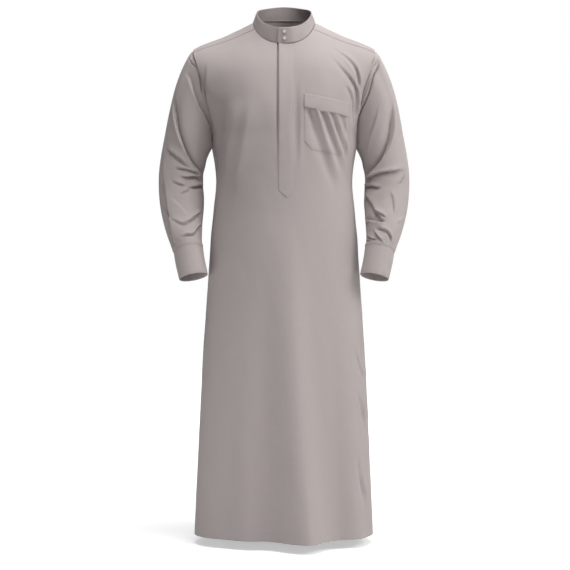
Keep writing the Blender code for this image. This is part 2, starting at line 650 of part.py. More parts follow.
def collar_point(turn, share, out):
    """A point on the collar, from its seam (0) to its upper edge (1), moved out by a distance."""
    base, top = collar_base(turn), collar_top(turn)
    ahead, behind = turn + 0.02, turn - 0.02
    run = collar_base(ahead) + collar_top(ahead) - collar_base(behind) - collar_top(behind)
    outward = np.cross(run, top - base)
    outward /= np.linalg.norm(outward, axis=-1, keepdims=True)
    clear_of_seam = np.array((0, 0, 2 * SEAM_GAP * (1 - share)))
    return base + (top - base) * share + clear_of_seam + outward * np.asarray(out)[..., None]


def turn_at(x, share):
    """The turn round the neck at which the collar's front is at x."""
    low, high = -0.6, 0.6
    for _ in range(40):
        middle = (low + high) / 2
        here = collar_point(np.array(middle), share, 0.0)[0]
        low, high = (middle, high) if here < x else (low, middle)
    return middle


def make_collar(material):
    """One strip from the lapped end, over the start of the other end, round the wearer's left and the back,
    to the end that lies under the lap."""
    start, end = turn_at(COLLAR_LAP_X, 0.5), turn_at(COLLAR_UNDERLAP_X, 0.5) + 2 * math.pi
    neck = np.concatenate([FRONT_NECK, BACK_NECK[1:], FRONT_NECK[1:] + 2 * math.pi])
    turns = np.concatenate([[start], neck[(neck > start + 0.03) & (neck < end - 0.03)], [end]])
    over = LAP * (1 - smooth_step((turns - start - COLLAR_LAP_TURN) / COLLAR_LAP_BLEND))
    shares = (0.0, 0.34, 0.68, 1.0)
    outer = np.array([collar_point(turns, share, over) for share in shares])
    inner = np.array([collar_point(turns, share, over - STAND) for share in shares])
    corner = np.arange(outer.shape[0] * outer.shape[1]).reshape(outer.shape[:2])
    faces = np.stack([corner[:-1, :-1], corner[:-1, 1:], corner[1:, 1:], corner[1:, :-1]], axis=-1)
    wall("collar", outer.reshape(-1, 3), inner.reshape(-1, 3), faces.reshape(-1, 4), material)


# ---------------------------------------------------------------- sleeves and cuffs


def armhole_loop(out):
    """The armhole seam on the wearer's left as a loop: from the shoulder round the front to the armpit, and up
    the back, a seam's gap off the body."""
    front = body(np.full(len(ARMHOLE_UPS), HALF_PATTERN), ARMHOLE_UPS[::-1], FRONT, out)
    back = body(np.full(len(BACK_ARMHOLE_UPS), HALF_PATTERN), BACK_ARMHOLE_UPS, BACK, out)
    return np.concatenate([front, back[1:-1]]) + np.array((ARMHOLE_GAP, 0, 0))


CUFF_START = len(ARM_RINGS) - 1 - CUFF_RINGS
arm = {n: curve_through(range(len(ARM_RINGS)), column(ARM_RINGS, ARM_COLUMNS, n) * MM) for n in ARM_COLUMNS}


def arm_axis(station):
    """The middle of the arm at stations along the table of rings, and half its width as a vector."""
    outer = np.stack([arm["outer_x"](station), arm["centre_y"](station), arm["outer_z"](station)], axis=-1)
    inner = np.stack([arm["inner_x"](station), arm["centre_y"](station), arm["inner_z"](station)], axis=-1)
    return (outer + inner) / 2, (outer - inner) / 2


def arm_rings(station, angles):
    """Points of the rings at the angles round them (0 outer, 90 degrees front, 180 inner), and how far down
    the arm each ring is."""
    centre, half = arm_axis(station)
    ahead, behind = arm_axis(station + 0.3)[0], arm_axis(station - 0.3)[0]
    depth = np.cross(ahead - behind, half)
    depth *= (arm["half_depth"](station) / np.linalg.norm(depth, axis=1))[:, None]
    points = centre[:, None] + half[:, None] * np.cos(angles)[None, :, None]
    points = points + depth[:, None] * np.sin(angles)[None, :, None]
    down = np.concatenate([[0], np.cumsum(np.linalg.norm(np.diff(centre, axis=0), axis=1))])
    return points, down


def seam_ring(ring, past):
    """A ring of the cuff seam, put onto the seam's plane and then moved past it, down the arm."""
    centre, half = (v[0] for v in arm_axis(np.array([CUFF_START])))
    down = arm_axis(np.array([CUFF_START + 0.3]))[0][0] - arm_axis(np.array([CUFF_START - 0.3]))[0][0]
    down = down - half * (down @ half) / (half @ half)
    down /= np.linalg.norm(down)
    return ring + (past - (ring - centre) @ down)[:, None] * down


def ring_normals(points):
    """Outward directions on a stack of closed rings, from the neighbours of each point."""
    round_it = np.roll(points, -1, axis=1) - np.roll(points, 1, axis=1)
    down_it = np.gradient(points, axis=0)
    normal = np.cross(round_it, down_it)
    return normal / np.linalg.norm(normal, axis=2, keepdims=True)


def loop_angles(loop):
    """The angle round the arm at which each station of the armhole sits."""
    centre = (loop.max(axis=0) + loop.min(axis=0)) / 2
    away = (loop - centre) / ((loop.max(axis=0) - loop.min(axis=0)) / 2)
    return np.unwrap(np.arctan2(-away[:, 1], away[:, 2]))


def sleeve_points(folds):
    """The sleeve of the wearer's left arm: outer points as rings, and their outward directions."""
    loop = armhole_loop(0.0)
    angles = loop_angles(loop)
    shares = np.unique(np.concatenate([np.linspace(a, b, count + 1) for a, b, count in SLEEVE_RING_RUNS]))
    rings, down = arm_rings(shares * CUFF_START, angles)
    share = down / down[-1]
    turned = (1 - smooth_step(share / SLEEVE_BLEND))[:, None, None]
    plain = rings + (loop - rings[0])[None] * turned
    normal = ring_normals(plain)
    around = np.degrees(angles)[None] + 0 * down[:, None]
    height = fold_height(around, down[:, None] / MM + 0 * around, folds, turn=360)
    held = smooth_step(share / 0.05) * smooth_step((1 - share) / 0.04)
    folded = plain + normal * (height * held[:, None])[..., None]
    return folded, ring_normals(folded)


def tube(name, outer, inner, mirrored, material):
    """A wall over closed rings, mirrored for the wearer's right arm."""
    rings, stations = outer.shape[:2]
    corner = np.arange(rings * stations).reshape(rings, stations)
    beside = np.roll(corner, -1, axis=1)
    quads = np.stack([corner[:-1], corner[1:], beside[1:], beside[:-1]], axis=-1).reshape(-1, 4)
    flip = np.array((-1 if mirrored else 1, 1, 1))
    faces = quads if mirrored else quads[:, ::-1]
    return wall(name, outer.reshape(-1, 3) * flip, inner.reshape(-1, 3) * flip, faces, material)


def make_sleeve(name, folds, mirrored, material):
    """The sleeve starts on the armhole's own edge and ends half a seam's gap before the cuff."""
    outer, normal = sleeve_points(folds)
    inner = outer - normal * CLOTH
    inner[0] = armhole_loop(-CLOTH)
    for skin in (outer, inner):
        skin[-1] = seam_ring(skin[-1], -SEAM_GAP / 2)
    return tube(name, outer, inner, mirrored, material)


def make_cuff(name, mirrored, material):
    angles = np.linspace(0, 2 * math.pi, CUFF_STATIONS, endpoint=False)
    outer, _ = arm_rings(np.linspace(CUFF_START, len(ARM_RINGS) - 1, CUFF_RINGS + 1), angles)
    inner = outer - ring_normals(outer) * STAND
    for skin in (outer, inner):
        skin[0] = seam_ring(skin[0], SEAM_GAP / 2)
    return tube(name, outer, inner, mirrored, material)


# ---------------------------------------------------------------- snaps


def snap_mesh(material):
    """A low round cap with a raised rim, turned about its own Z axis, with its flat back at 0."""
    inner = SNAP_RADIUS - SNAP_RIM
    profile = [
        (0, SNAP_HEIGHT * 0.72), (inner * 0.72, SNAP_HEIGHT * 0.66), (inner, SNAP_HEIGHT * 0.5),
        (inner + SNAP_RIM * 0.35, SNAP_HEIGHT * 0.96), (inner + SNAP_RIM * 0.6, SNAP_HEIGHT),
        (SNAP_RADIUS, SNAP_HEIGHT * 0.6), (SNAP_RADIUS, 0), (0, 0),
    ]
    shape = bmesh.new()
    chain = [shape.verts.new((r, 0, z)) for r, z in profile]
    edges = [shape.edges.new(pair) for pair in zip(chain, chain[1:])]
    bmesh.ops.spin(
        shape, geom=chain + edges, cent=(0, 0, 0), axis=(0, 0, 1), angle=2 * math.pi, steps=SNAP_SEGMENTS,
        use_merge=True, use_duplicate=False,
    )
    bmesh.ops.remove_doubles(shape, verts=shape.verts, dist=0.01 * MM)
    bmesh.ops.recalc_face_normals(shape, faces=shape.faces)
    mesh = bpy.data.meshes.new("snap")
    shape.to_mesh(mesh)
    shape.free()
    mesh.materials.append(material)
    mesh.shade_smooth()
    mesh.set_sharp_from_angle(angle=math.radians(40))
    return mesh


def place_snap(name, mesh, share):
    """Sets a snap on the collar's lapped end, with its back just off the cloth."""
    turn = np.array(turn_at(SNAP_X, share))
    seat = Vector(collar_point(turn, share, LAP + SEAM_GAP))
    outward = (Vector(collar_point(turn, share, 1.0)) - Vector(collar_point(turn, share, 0.0))).normalized()
    snap = bpy.data.objects.new(name, mesh)
    snap.matrix_world = Matrix.Translation(seat) @ outward.to_track_quat("Z", "Y").to_matrix().to_4x4()
    bpy.context.scene.collection.objects.link(snap)


# ---------------------------------------------------------------- build


def make_material(name, colour, roughness, metallic=0.0):
    material = bpy.data.materials.new(name)
    material.use_nodes = True
    shader = material.node_tree.nodes["Principled BSDF"]
    shader.inputs["Base Color"].default_value = (*colour, 1)
    shader.inputs["Roughness"].default_value = roughness
    shader.inputs["Metallic"].default_value = metallic
    return material


def main():
    for thing in list(bpy.data.objects):
        bpy.data.objects.remove(thing)
    cloth = make_material("robe_cloth", (0.42, 0.37, 0.355), 0.75)
    pearl = make_material("snap_pearl", (0.78, 0.74, 0.71), 0.30)

    marks = (placket_outline(), pocket_outline(), flap_outline())
    outline = front_outline()
    inner = lattice(outline, FRONT_ROWS, FRONT_STEP, marks, fold_points(FRONT_FOLDS, FRONT))
    front = triangles_in(outline, inner, marks)
    panel("front", front, on_front, CLOTH, cloth)
    lying = SEAM_GAP + DOUBLED
    for name, mark, lift in zip(("placket", "pocket", "pocket_flap"), marks, (lying, lying, 2 * lying)):
        panel(name, part_of(front, mark), on_front, DOUBLED, cloth, lift)

    outline = back_outline()
    inner = lattice(outline, BACK_ROWS, BACK_STEP, folds=fold_points(BACK_FOLDS, BACK))
    panel("back", triangles_in(outline, inner), on_back, CLOTH, cloth)
    outline = yoke_outline()
    rows = spaced(outline[:, 1].min(), outline[:, 1].max(), YOKE_STEP)
    panel("yoke", triangles_in(outline, lattice(outline, rows, YOKE_STEP)), on_yoke, CLOTH, cloth)

    make_collar(cloth)
    for name, folds, mirrored in (("left", LEFT_SLEEVE_FOLDS, False), ("right", RIGHT_SLEEVE_FOLDS, True)):
        make_sleeve(f"sleeve_{name}", folds, mirrored, cloth)
        make_cuff(f"cuff_{name}", mirrored, cloth)
    mesh = snap_mesh(pearl)
    for name, share in zip(("snap_upper", "snap_lower"), SNAP_SHARES):
        place_snap(name, mesh, share)


main()
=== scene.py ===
# %% [markdown]
# # A men's thobe, dressed over its fixed solids
#
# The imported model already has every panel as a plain, closed wall of cloth. This lesson puts the finer cloth
# over those walls: thin shells with creases, rolled seams, a tacked hem, sewing thread and snaps.
#
# Metres, +Z up. The front faces -Y and the wearer's left is +X. The origin is on the shoulder line, midway
# between the two high shoulder points.

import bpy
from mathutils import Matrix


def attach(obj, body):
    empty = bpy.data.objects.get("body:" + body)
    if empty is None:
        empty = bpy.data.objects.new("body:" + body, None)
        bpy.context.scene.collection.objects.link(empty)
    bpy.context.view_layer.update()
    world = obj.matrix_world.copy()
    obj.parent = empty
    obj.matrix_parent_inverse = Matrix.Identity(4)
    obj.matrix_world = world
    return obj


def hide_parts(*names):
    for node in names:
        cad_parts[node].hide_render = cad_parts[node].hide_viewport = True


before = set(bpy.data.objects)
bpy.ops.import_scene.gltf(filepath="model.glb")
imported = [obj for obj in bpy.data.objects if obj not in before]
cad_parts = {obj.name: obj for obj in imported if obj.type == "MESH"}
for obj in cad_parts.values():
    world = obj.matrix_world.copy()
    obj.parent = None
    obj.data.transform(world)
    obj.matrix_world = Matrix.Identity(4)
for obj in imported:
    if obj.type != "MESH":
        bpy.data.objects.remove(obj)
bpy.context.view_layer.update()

import math

import bpy
import numpy as np
from mathutils import Matrix, Vector

MM = 0.001
print("Panels in the packed robe:", ", ".join(sorted(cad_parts)))

# %% [markdown]
# ## Curves and folds
#
# Cloth that hangs on a body has two kinds of relief. Broad folds fall with gravity, and small creases show
# where it is pinched, at the elbow or under the arm. Both could be sculpted or simulated. Here each is a row
# in a table: a line on the cloth with a width and a height. A row can be read, moved or deleted like a pleat.

# %% Smooth curves through a table's points


def curve_through(stations, values):
    """A smooth curve through the points of a table, as a function of the station."""
    order = np.argsort(stations)
    stations, values = np.asarray(stations)[order], np.asarray(values)[order]
    slopes = np.gradient(values, stations)

    def at(x):
        x = np.clip(x, stations[0], stations[-1])
        i = np.clip(np.searchsorted(stations, x, side="right") - 1, 0, len(stations) - 2)
        step = stations[i + 1] - stations[i]
        t = (x - stations[i]) / step
        ends = values[i] * (2 * t**3 - 3 * t**2 + 1) + values[i + 1] * (3 * t**2 - 2 * t**3)
        return ends + step * (slopes[i] * (t**3 - 2 * t**2 + t) + slopes[i + 1] * (t**3 - t**2))

    return at


def smooth_step(t):
    """A soft step: 0 up to 0, 1 from 1 on."""
    t = np.clip(t, 0, 1)
    return t * t * (3 - 2 * t)


def fade_ends(t, head, tail):
    """1 along the middle of a line from 0 to 1, which fades out over its head and its tail."""
    return smooth_step(t / head) * smooth_step((1 - t) / tail)


def bell(distance, width, power=2):
    """A bell-shaped share: 1 at no distance, and little at twice the width. A lower power makes it peaked."""
    return np.exp(-(np.abs(distance / width) ** power))


def run_along(points):
    """How far along a path each of its points lies."""
    return np.concatenate([[0], np.cumsum(np.linalg.norm(np.diff(points, axis=0), axis=1))])


# %% How far the rows of a table lift the cloth


def along_and_aside(x, y, row, turn=None):
    """Where points lie along a row's line, from 0 to 1, and how far beside its bowed middle."""
    x0, y0, x1, y1, bow = row[:5]
    length = math.hypot(x1 - x0, y1 - y0)
    along = np.array((x1 - x0, y1 - y0)) / length
    from_x = x - x0
    if turn:
        from_x = (from_x - (x1 - x0) / 2 + turn / 2) % turn - turn / 2 + (x1 - x0) / 2
    t = (from_x * along[0] + (y - y0) * along[1]) / length
    inside = np.clip(t, 0, 1)
    aside = from_x * along[1] - (y - y0) * along[0] - bow * 4 * inside * (1 - inside)
    return t, aside


FOLD_END = 0.35  # the share of a fold's line over which a closed end fades


def fold_height(x, y, rows, turn=None):
    """Broad folds. A fold with an open end grows all the way to it, and any other fades at both ends."""
    height = np.zeros_like(x)
    for row in rows:
        width, lean, rise, open_end = row[5:]
        t, aside = along_and_aside(x, y, row, turn)
        flank = width * (1 + lean * np.sign(aside))
        fade = np.clip(t, 0, 1) if open_end else fade_ends(t, FOLD_END, FOLD_END)
        height += rise * MM * bell(aside, flank) * fade
    return height


def crease_height(x, y, rows, turn=None):
    """Small creases. Head and tail are the shares of the line over which each end fades."""
    height = np.zeros_like(x)
    for row in rows:
        width, lean, rise, head, tail = row[5:]
        t, aside = along_and_aside(x, y, row, turn)
        thinning = 0.55 + 0.45 * np.sin(math.pi * np.clip(t, 0, 1))
        flank = width * thinning * (1 + lean * np.sign(aside))
        height += rise * MM * bell(aside, flank, 1.7) * fade_ends(t, head, tail)
    return height


LAP_TURN = 1.3  # how far across its path a lap takes to turn over, in mm


def path_distance(x, y, path, turn=None):
    """The place along a smooth path through points, from 0 to 1, and the distance to its right, in mm."""
    path = np.array(path, float)
    chord = run_along(path)
    even = np.linspace(0, chord[-1], 4 * len(path) + 1)
    line = np.stack([curve_through(chord, path[:, i])(even) for i in range(2)], axis=-1)
    if turn:
        middle = line[:, 0].mean()
        x = (x - middle + turn / 2) % turn - turn / 2 + middle
    nearest, along, aside = np.full_like(x, np.inf), np.zeros_like(x), np.zeros_like(x)
    for i, (start, run) in enumerate(zip(line, np.diff(line, axis=0))):
        t = np.clip(((x - start[0]) * run[0] + (y - start[1]) * run[1]) / (run @ run), 0, 1)
        off_x, off_y = x - start[0] - t * run[0], y - start[1] - t * run[1]
        distance = np.hypot(off_x, off_y)
        closer = distance < nearest
        nearest = np.where(closer, distance, nearest)
        along = np.where(closer, (i + t) / (len(line) - 1), along)
        aside = np.where(closer, np.sign(off_x * run[1] - off_y * run[0]) * distance, aside)
    return along, aside


def lap_height(x, y, rows, turn=None):
    """Laps, where cloth folds a little over itself. Walking along a lap's path with y up, the cloth stands
    up on the left and sinks on the right. A trough below 0 is raised too, which makes a sharp ridge."""
    height = np.zeros_like(x)
    for path, crest_width, crest, trough_width, trough, head, tail in rows:
        along, aside = path_distance(x, y, path, turn)
        turned = 0.5 + 0.5 * np.tanh(aside / LAP_TURN)
        up = crest * bell(aside, crest_width, 1.4) * (1 - turned)
        down = trough * bell(aside, trough_width, 1.4) * turned
        height += (up - down) * MM * fade_ends(along, head, tail)
    return height


def waver(x, y, size, depth, seed):
    """A faint unevenness, in metres: a few slow waves in directions drawn with a fixed seed."""
    draw = np.random.default_rng(seed)
    height = 0.0
    for _ in range(7):
        heading, phase = draw.uniform(0, math.pi), draw.uniform(0, 2 * math.pi)
        wave = size * draw.uniform(0.7, 1.5)
        height = height + np.sin((x * math.cos(heading) + y * math.sin(heading)) / wave * 2 * math.pi + phase)
    return height * depth * MM / math.sqrt(7)


# %% [markdown]
# ## Sizes
#
# The sizes are the ones that the solids were cut with, so each shell lies on its solid with no fitting. The
# body is drawn in pattern coordinates, as a tailor chalks a panel: "across" runs from side seam to side seam,
# and "up" runs from the hem over the chest to the shoulder line.

# %% Driving sizes
SEAM_GAP = 0.30 * MM
STAND = 2.2 * MM  # wall of the interlined collar and cuffs
DOUBLED = 1.4 * MM
LAP = STAND + DOUBLED + 2 * SEAM_GAP  # how far the collar's lapped end stands off the neckline

HEM_Z = -1.372
ARMPIT_Z = -0.295
HEM_UP = HEM_Z - ARMPIT_Z  # the hem in pattern coordinates
SHOULDER_X = 0.2445
NECK_HALF_WIDTH = 0.0845
NECK_POINT_Z = 0.042  # where the two shoulder lines would meet over the neck
NECK_ROUNDING = 0.080
SHOULDER_SLOPE = 0.4385
SHOULDER_ROUNDING = 0.004
SHOULDER_SAG = 0.0036

HALF_PATTERN = 0.280
ARCH_RADIUS = 0.300
RIDGE = ARCH_RADIUS * math.pi / 2
FRONT, BACK = -1, 1
CHEST_FALL = 1.35
ARMHOLE_DEPTH = {FRONT: 0.062, BACK: 0.060}
ARMHOLE_FULLNESS = 0.8
FINGER = 0.010  # a small step, for slopes taken by differences

# %% The body's sections and the armhole's edge
# The body from the armpit line down to the hem, in mm. Columns: height, half width, front depth, back depth.
BODY_SECTIONS = (
    (-295, 199, 132, 126),
    (-335, 195, 132, 125),
    (-375, 188, 131, 121),
    (-420, 184, 129, 117),
    (-500, 190, 128, 117),
    (-560, 196, 129, 121),
    (-650, 202, 131, 130),
    (-750, 209, 134, 139),
    (-850, 216, 137, 146),
    (-1000, 224, 141, 155),
    (-1150, 231, 145, 163),
    (-1300, 238, 149, 170),
    (-1372, 241, 151, 173),
)
# Columns: the rise from the armpit (0) to the shoulder (1), and half the width between the armholes in mm.
ARMHOLE_EDGE = (
    (0.00, 199),
    (0.12, 198),
    (0.28, 201),
    (0.48, 210),
    (0.72, 227),
    (0.90, 239),
    (1.00, 244.5),
)
heights, half_widths, front_depths, back_depths = np.array(BODY_SECTIONS, float).T * MM
body_half_width = curve_through(heights, half_widths)
body_depth = {FRONT: curve_through(heights, front_depths), BACK: curve_through(heights, back_depths)}
rises, edge_widths = np.array(ARMHOLE_EDGE, float).T
armhole_half_width = curve_through(rises, edge_widths * MM)
print(f"Body: {2e3 * body_half_width(HEM_Z):.0f} mm wide at the hem, {-1e3 * HEM_Z:.0f} mm long")

# %% [markdown]
# ## Folds and creases of the front and back
#
# The front has one long soft ridge down the skirt, hollows beside it, drags from the neck to the armhole, and
# sharp falls out of the pocket. The back has nothing pinned to it, so it gets quieter folds of the same kind:
# a hollow in the small of the back and falls from the shoulder blades.
#
# x and z are in mm, as seen from the front. Bow carries the middle of a line sideways, and a lean makes one
# flank steeper than the other.

# %% Broad folds
# Columns: x0, z0, x1, z1, bow, width, lean, height, open_end.
FRONT_FOLDS = (
    (8, -520, 58, -1372, 6, 50, 0.20, 54, 1),
    (-42, -600, -46, -1372, 0, 42, 0.00, -16, 1),
    (122, -640, 148, -1372, 6, 32, 0.10, -7, 1),
    (-128, -700, -152, -1372, 0, 40, 0.00, -9, 1),
    (172, -700, 196, -1372, 4, 24, 0.20, 10, 1),
    (-166, -190, -180, -440, 0, 28, 0.20, -14.0, 0),
    (-112, -50, -92, -320, 0, 74, 0.00, 12.0, 0),
    (104, -50, 96, -300, 0, 66, 0.00, 9.0, 0),
)
BACK_FOLDS = (
    (-10, -440, -28, -1372, 8, 46, 0.10, 26, 1),
    (-92, -500, -124, -1372, -4, 40, 0.10, -14, 1),
    (74, -500, 92, -1372, 6, 42, -0.10, -14, 1),
    (150, -600, 172, -1372, 4, 30, 0.10, 16, 1),
    (-164, -620, -186, -1372, -4, 30, 0.10, 16, 1),
    (-158, -176, -70, -350, -16, 15, 0.20, -5.0, 0),
    (160, -180, 66, -370, 16, 15, -0.20, -5.0, 0),
    (-132, -300, -36, -480, -16, 18, 0.20, 5.0, 0),
    (130, -310, 44, -490, 16, 18, -0.20, 4.6, 0),
    (-70, -440, 76, -458, -8, 16, 0.10, -4.4, 0),
    (-100, -500, 92, -520, -9, 19, 0.10, 4.2, 0),
)

# %% Creases of the front
# Columns: x0, z0, x1, z1, bow, width, lean, height, head, tail.
FRONT_CREASES = (
    # Drags from the neck and shoulder to the front of the armhole, on the wearer's left.
    (120, -74, 194, -170, -13, 8, -0.30, 2.6, 0.60, 0.20),
    (190, -200, 188, -340, 0, 6, 0.30, -3.8, 0.20, 0.40),
    (188, -230, 187, -330, 0, 4, 0.00, 2.4, 0.30, 0.50),
    # Under the placket's free edge.
    (-16.6, -50, -16.6, -450, 0, 2.6, 0.00, -4.6, 0.02, 0.60),
    # Beside the placket, on the wearer's left.
    (32, -150, 34, -420, 0, 8, 0.20, -3.0, 0.35, 0.40),
    (45, -150, 44, -400, 0, 7, 0.00, 1.6, 0.35, 0.40),
    # The skirt's small creases at the side seam.
    (204, -830, 217, -960, 3, 7, 0.30, -3.6, 0.40, 0.40),
    (196, -1150, 220, -1310, 4, 8, 0.30, -4.2, 0.35, 0.35),
    (206, -1190, 226, -1290, 3, 6, -0.20, 3.0, 0.40, 0.40),
    (210, -1010, 221, -1110, 3, 7, 0.20, -3.0, 0.40, 0.40),
    (-206, -880, -217, -1010, -3, 8, 0.20, -3.0, 0.40, 0.40),
)
POCKET_CREASES = (
    # Falls out of the pocket. The band lies over their upper ends and stays smooth.
    (60, -238, 150, -490, 0, 10, 0.20, -5.6, 0.05, 0.55),
    (82, -238, 160, -470, 0, 7.5, -0.20, 5.8, 0.05, 0.55),
    (96, -240, 168, -430, 0, 6.5, 0.30, -6.2, 0.05, 0.50),
    (108, -242, 174, -410, 0, 5, -0.20, 5.4, 0.05, 0.50),
    (121, -244, 177, -390, 0, 5.5, 0.30, -5.4, 0.06, 0.50),
    (134, -246, 179, -370, 0, 5, 0.00, 3.8, 0.08, 0.50),
    (148, -250, 181, -350, 0, 5, 0.00, -3.4, 0.10, 0.50),
    (161, -256, 171, -400, 0, 5, 0.00, 4.0, 0.15, 0.50),
)
BACK_CREASES = (
    (-176, -160, -120, -300, -10, 8, 0.30, 3.0, 0.35, 0.40),
    (178, -164, 116, -310, 10, 8, -0.30, 3.0, 0.35, 0.40),
    (-196, -190, -186, -330, 4, 7, 0.20, -3.4, 0.30, 0.40),
    (196, -186, 188, -330, -4, 7, 0.20, -3.4, 0.30, 0.40),
    (-40, -300, 10, -420, 6, 9, 0.20, 2.6, 0.40, 0.40),
    (-90, -430, 20, -470, -6, 8, 0.20, -3.4, 0.40, 0.40),
    (-20, -410, 96, -440, -5, 7, 0.20, -3.0, 0.40, 0.40),
    (-60, -480, 60, -492, -6, 8, 0.20, 3.2, 0.40, 0.40),
    (20, -505, 130, -540, -6, 9, 0.20, -3.0, 0.40, 0.40),
    (-206, -900, -218, -1020, -3, 8, 0.20, -3.2, 0.40, 0.40),
    (208, -960, 220, -1090, 3, 8, 0.20, -3.0, 0.40, 0.40),
)

# %% Laps of the front and back
# Columns: path of (x, z), crest_width, crest, trough_width, trough, head, tail.
FRONT_LAPS = (
    # Drags from the neck and shoulder to the front of the armhole, on the wearer's left.
    (
        ((108, -84), (131, -106), (154, -131), (178, -158), (191, -178), (196, -207), (193, -260)),
        8, 4.2, 8, 7.4, 0.70, 0.12,
    ),
    (
        ((120, -62), (138, -78), (171, -103), (191, -128), (199, -154), (200, -184)),
        8, 3.7, 8, 6.4, 0.75, 0.14,
    ),
    (((160, -172), (174, -191), (182, -214), (184, -277)), 5, 2.8, 6, 4.6, 0.20, 0.35),
    # Beside the armhole, on the wearer's right, and soft falls from the chest.
    (((-206, -108), (-207, -160), (-204, -220), (-197, -300)), 12, 2.8, 8, 6.0, 0.30, 0.30),
    (((-138, -215), (-156, -293), (-169, -354), (-178, -400)), 20, 7.0, 12, -7.0, 0.35, 0.40),
    (((-118, -205), (-133, -293), (-142, -328), (-151, -381), (-164, -450)), 24, 10.5, 14, -10.5, 0.35, 0.40),
    (((-84, -205), (-98, -297), (-104, -332), (-116, -398), (-134, -510)), 28, 11.5, 16, -11.5, 0.35, 0.40),
    # Small pulls at the skirt's side and beside the hem, on the wearer's left.
    (((186, -868), (201, -912), (217, -958)), 9, 3.2, 6, 4.6, 0.35, 0.25),
    (((194, -975), (206, -1018), (221, -1075)), 9, 3.4, 6, 5.0, 0.35, 0.25),
    (((193, -1140), (199, -1200), (210, -1245), (226, -1285)), 8, 2.6, 6, 3.6, 0.30, 0.35),
)
BACK_LAPS = (
    # Drags from the backs of the armholes to the small of the back.
    (((-190, -176), (-160, -216), (-118, -282), (-70, -352), (-30, -392)), 13, 2.8, 13, 3.6, 0.30, 0.35),
    (((-186, -250), (-150, -300), (-104, -380), (-74, -420)), 11, 2.2, 10, 2.8, 0.25, 0.40),
    (((46, -398), (84, -350), (124, -286), (166, -214), (192, -180)), 13, 2.8, 13, 3.6, 0.35, 0.30),
    (((90, -420), (122, -370), (160, -296), (188, -246)), 11, 2.2, 10, 2.8, 0.40, 0.25),
)
for label, folds, creases, laps in (
    ("Front", FRONT_FOLDS, FRONT_CREASES + POCKET_CREASES, FRONT_LAPS),
    ("Back", BACK_FOLDS, BACK_CREASES, BACK_LAPS),
):
    print(f"{label}: {len(folds)} folds, {len(creases)} creases, {len(laps)} laps")

# %% [markdown]
# ## The body's surface
#
# A worn robe is close to an oval tube that arches over the chest and shoulder blades to the shoulder line.
# One formula gives its plain surface. Then folds, creases and a faint waver push the cloth in or out.

# %% The smooth body


def shoulder_line(x):
    """Height of the shoulder line at a distance x from the middle."""
    x = np.where(np.abs(x) < NECK_ROUNDING, x**2 / (2 * NECK_ROUNDING) + NECK_ROUNDING / 2, np.abs(x))
    t = np.clip((x - NECK_HALF_WIDTH) / (SHOULDER_X - NECK_HALF_WIDTH), 0, 1)
    hollow = SHOULDER_SAG * np.sin(math.pi * t) ** 2 + SHOULDER_ROUNDING * t**8
    return NECK_POINT_Z - SHOULDER_SLOPE * x - hollow


def plain_body(across, up, side):
    """The smooth body: points for pattern coordinates on the front or the back."""
    turn = across / HALF_PATTERN * math.pi / 2
    sine, cosine = np.sin(turn), np.cos(turn)
    arch = np.clip(up / ARCH_RADIUS, 0, math.pi / 2)
    rise = np.sin(arch)
    above = up > 0
    level = np.minimum(up, 0) + ARMPIT_Z
    half = np.where(above, armhole_half_width(rise), body_half_width(level))
    fall = CHEST_FALL if side == FRONT else 1.0
    middle = np.where(above, body_depth[side](ARMPIT_Z) * np.cos(arch) ** fall, body_depth[side](level))
    edge = np.where(above, ARMHOLE_DEPTH[side] * np.sin(2 * arch) ** ARMHOLE_FULLNESS, 0)
    z = np.where(above, ARMPIT_Z + (shoulder_line(SHOULDER_X * sine) - ARMPIT_Z) * rise, level)
    return np.stack([half * sine, side * (edge + (middle - edge) * cosine), z], axis=-1)


# %% The draped body
WAVERS = ((0.45, 38, 0.22, 3), (0.30, 150, 1.0, 11))  # squash along z, size and depth in mm, and seed
SEAM_CALM = 12 * MM  # folds fade over this much beside a side seam, so front and back meet
RELIEF = {FRONT: (FRONT_FOLDS, FRONT_CREASES, FRONT_LAPS), BACK: (BACK_FOLDS, BACK_CREASES, BACK_LAPS)}


def relief(point, side, pocket_creases):
    """How far the folds lift the cloth at points of the smooth body, in metres."""
    x, z = point[..., 0] / MM, point[..., 2] / MM
    folds, creases, laps = RELIEF[side]
    height = fold_height(x, z, folds) + crease_height(x, z, creases) + lap_height(x, z, laps)
    if side == FRONT and pocket_creases:
        height = height + crease_height(x, z, POCKET_CREASES)
    for squash, size, depth, seed in WAVERS:
        height = height + waver(x, z * squash, size, depth, seed + side)
    return height


def body(across, up, side, out=0.0, pocket_creases=True):
    """Points on the robe's body, with its folds, moved out by a distance."""
    across, up = np.broadcast_arrays(np.asarray(across, float), np.asarray(up, float))
    point = plain_body(across, up, side)
    low = np.maximum(up - FINGER, HEM_UP - FINGER)
    high = np.minimum(up + FINGER, RIDGE - MM)
    left = np.maximum(across - FINGER, -HALF_PATTERN)
    right = np.minimum(across + FINGER, HALF_PATTERN)
    along_x = plain_body(right, up, side) - plain_body(left, up, side)
    along_z = plain_body(across, high, side) - plain_body(across, np.minimum(low, high - MM), side)
    normal = -side * np.cross(along_x, along_z)
    normal /= np.linalg.norm(normal, axis=-1, keepdims=True)
    near_seam = smooth_step((HALF_PATTERN - np.abs(across)) / SEAM_CALM)
    lift = relief(point, side, pocket_creases) * near_seam
    return point + normal * (lift + out)[..., None]


def over_shoulder(across, up, surface, *out):
    """Points of a surface, where up is 0 on the shoulder line, below 0 in front and above 0 behind it."""
    across, up = np.broadcast_arrays(across, up)
    front_side = surface(across, RIDGE + np.minimum(up, 0), FRONT, *out)
    back_side = surface(across, RIDGE - np.maximum(up, 0), BACK, *out)
    return np.where((up < 0)[..., None], front_side, back_side)


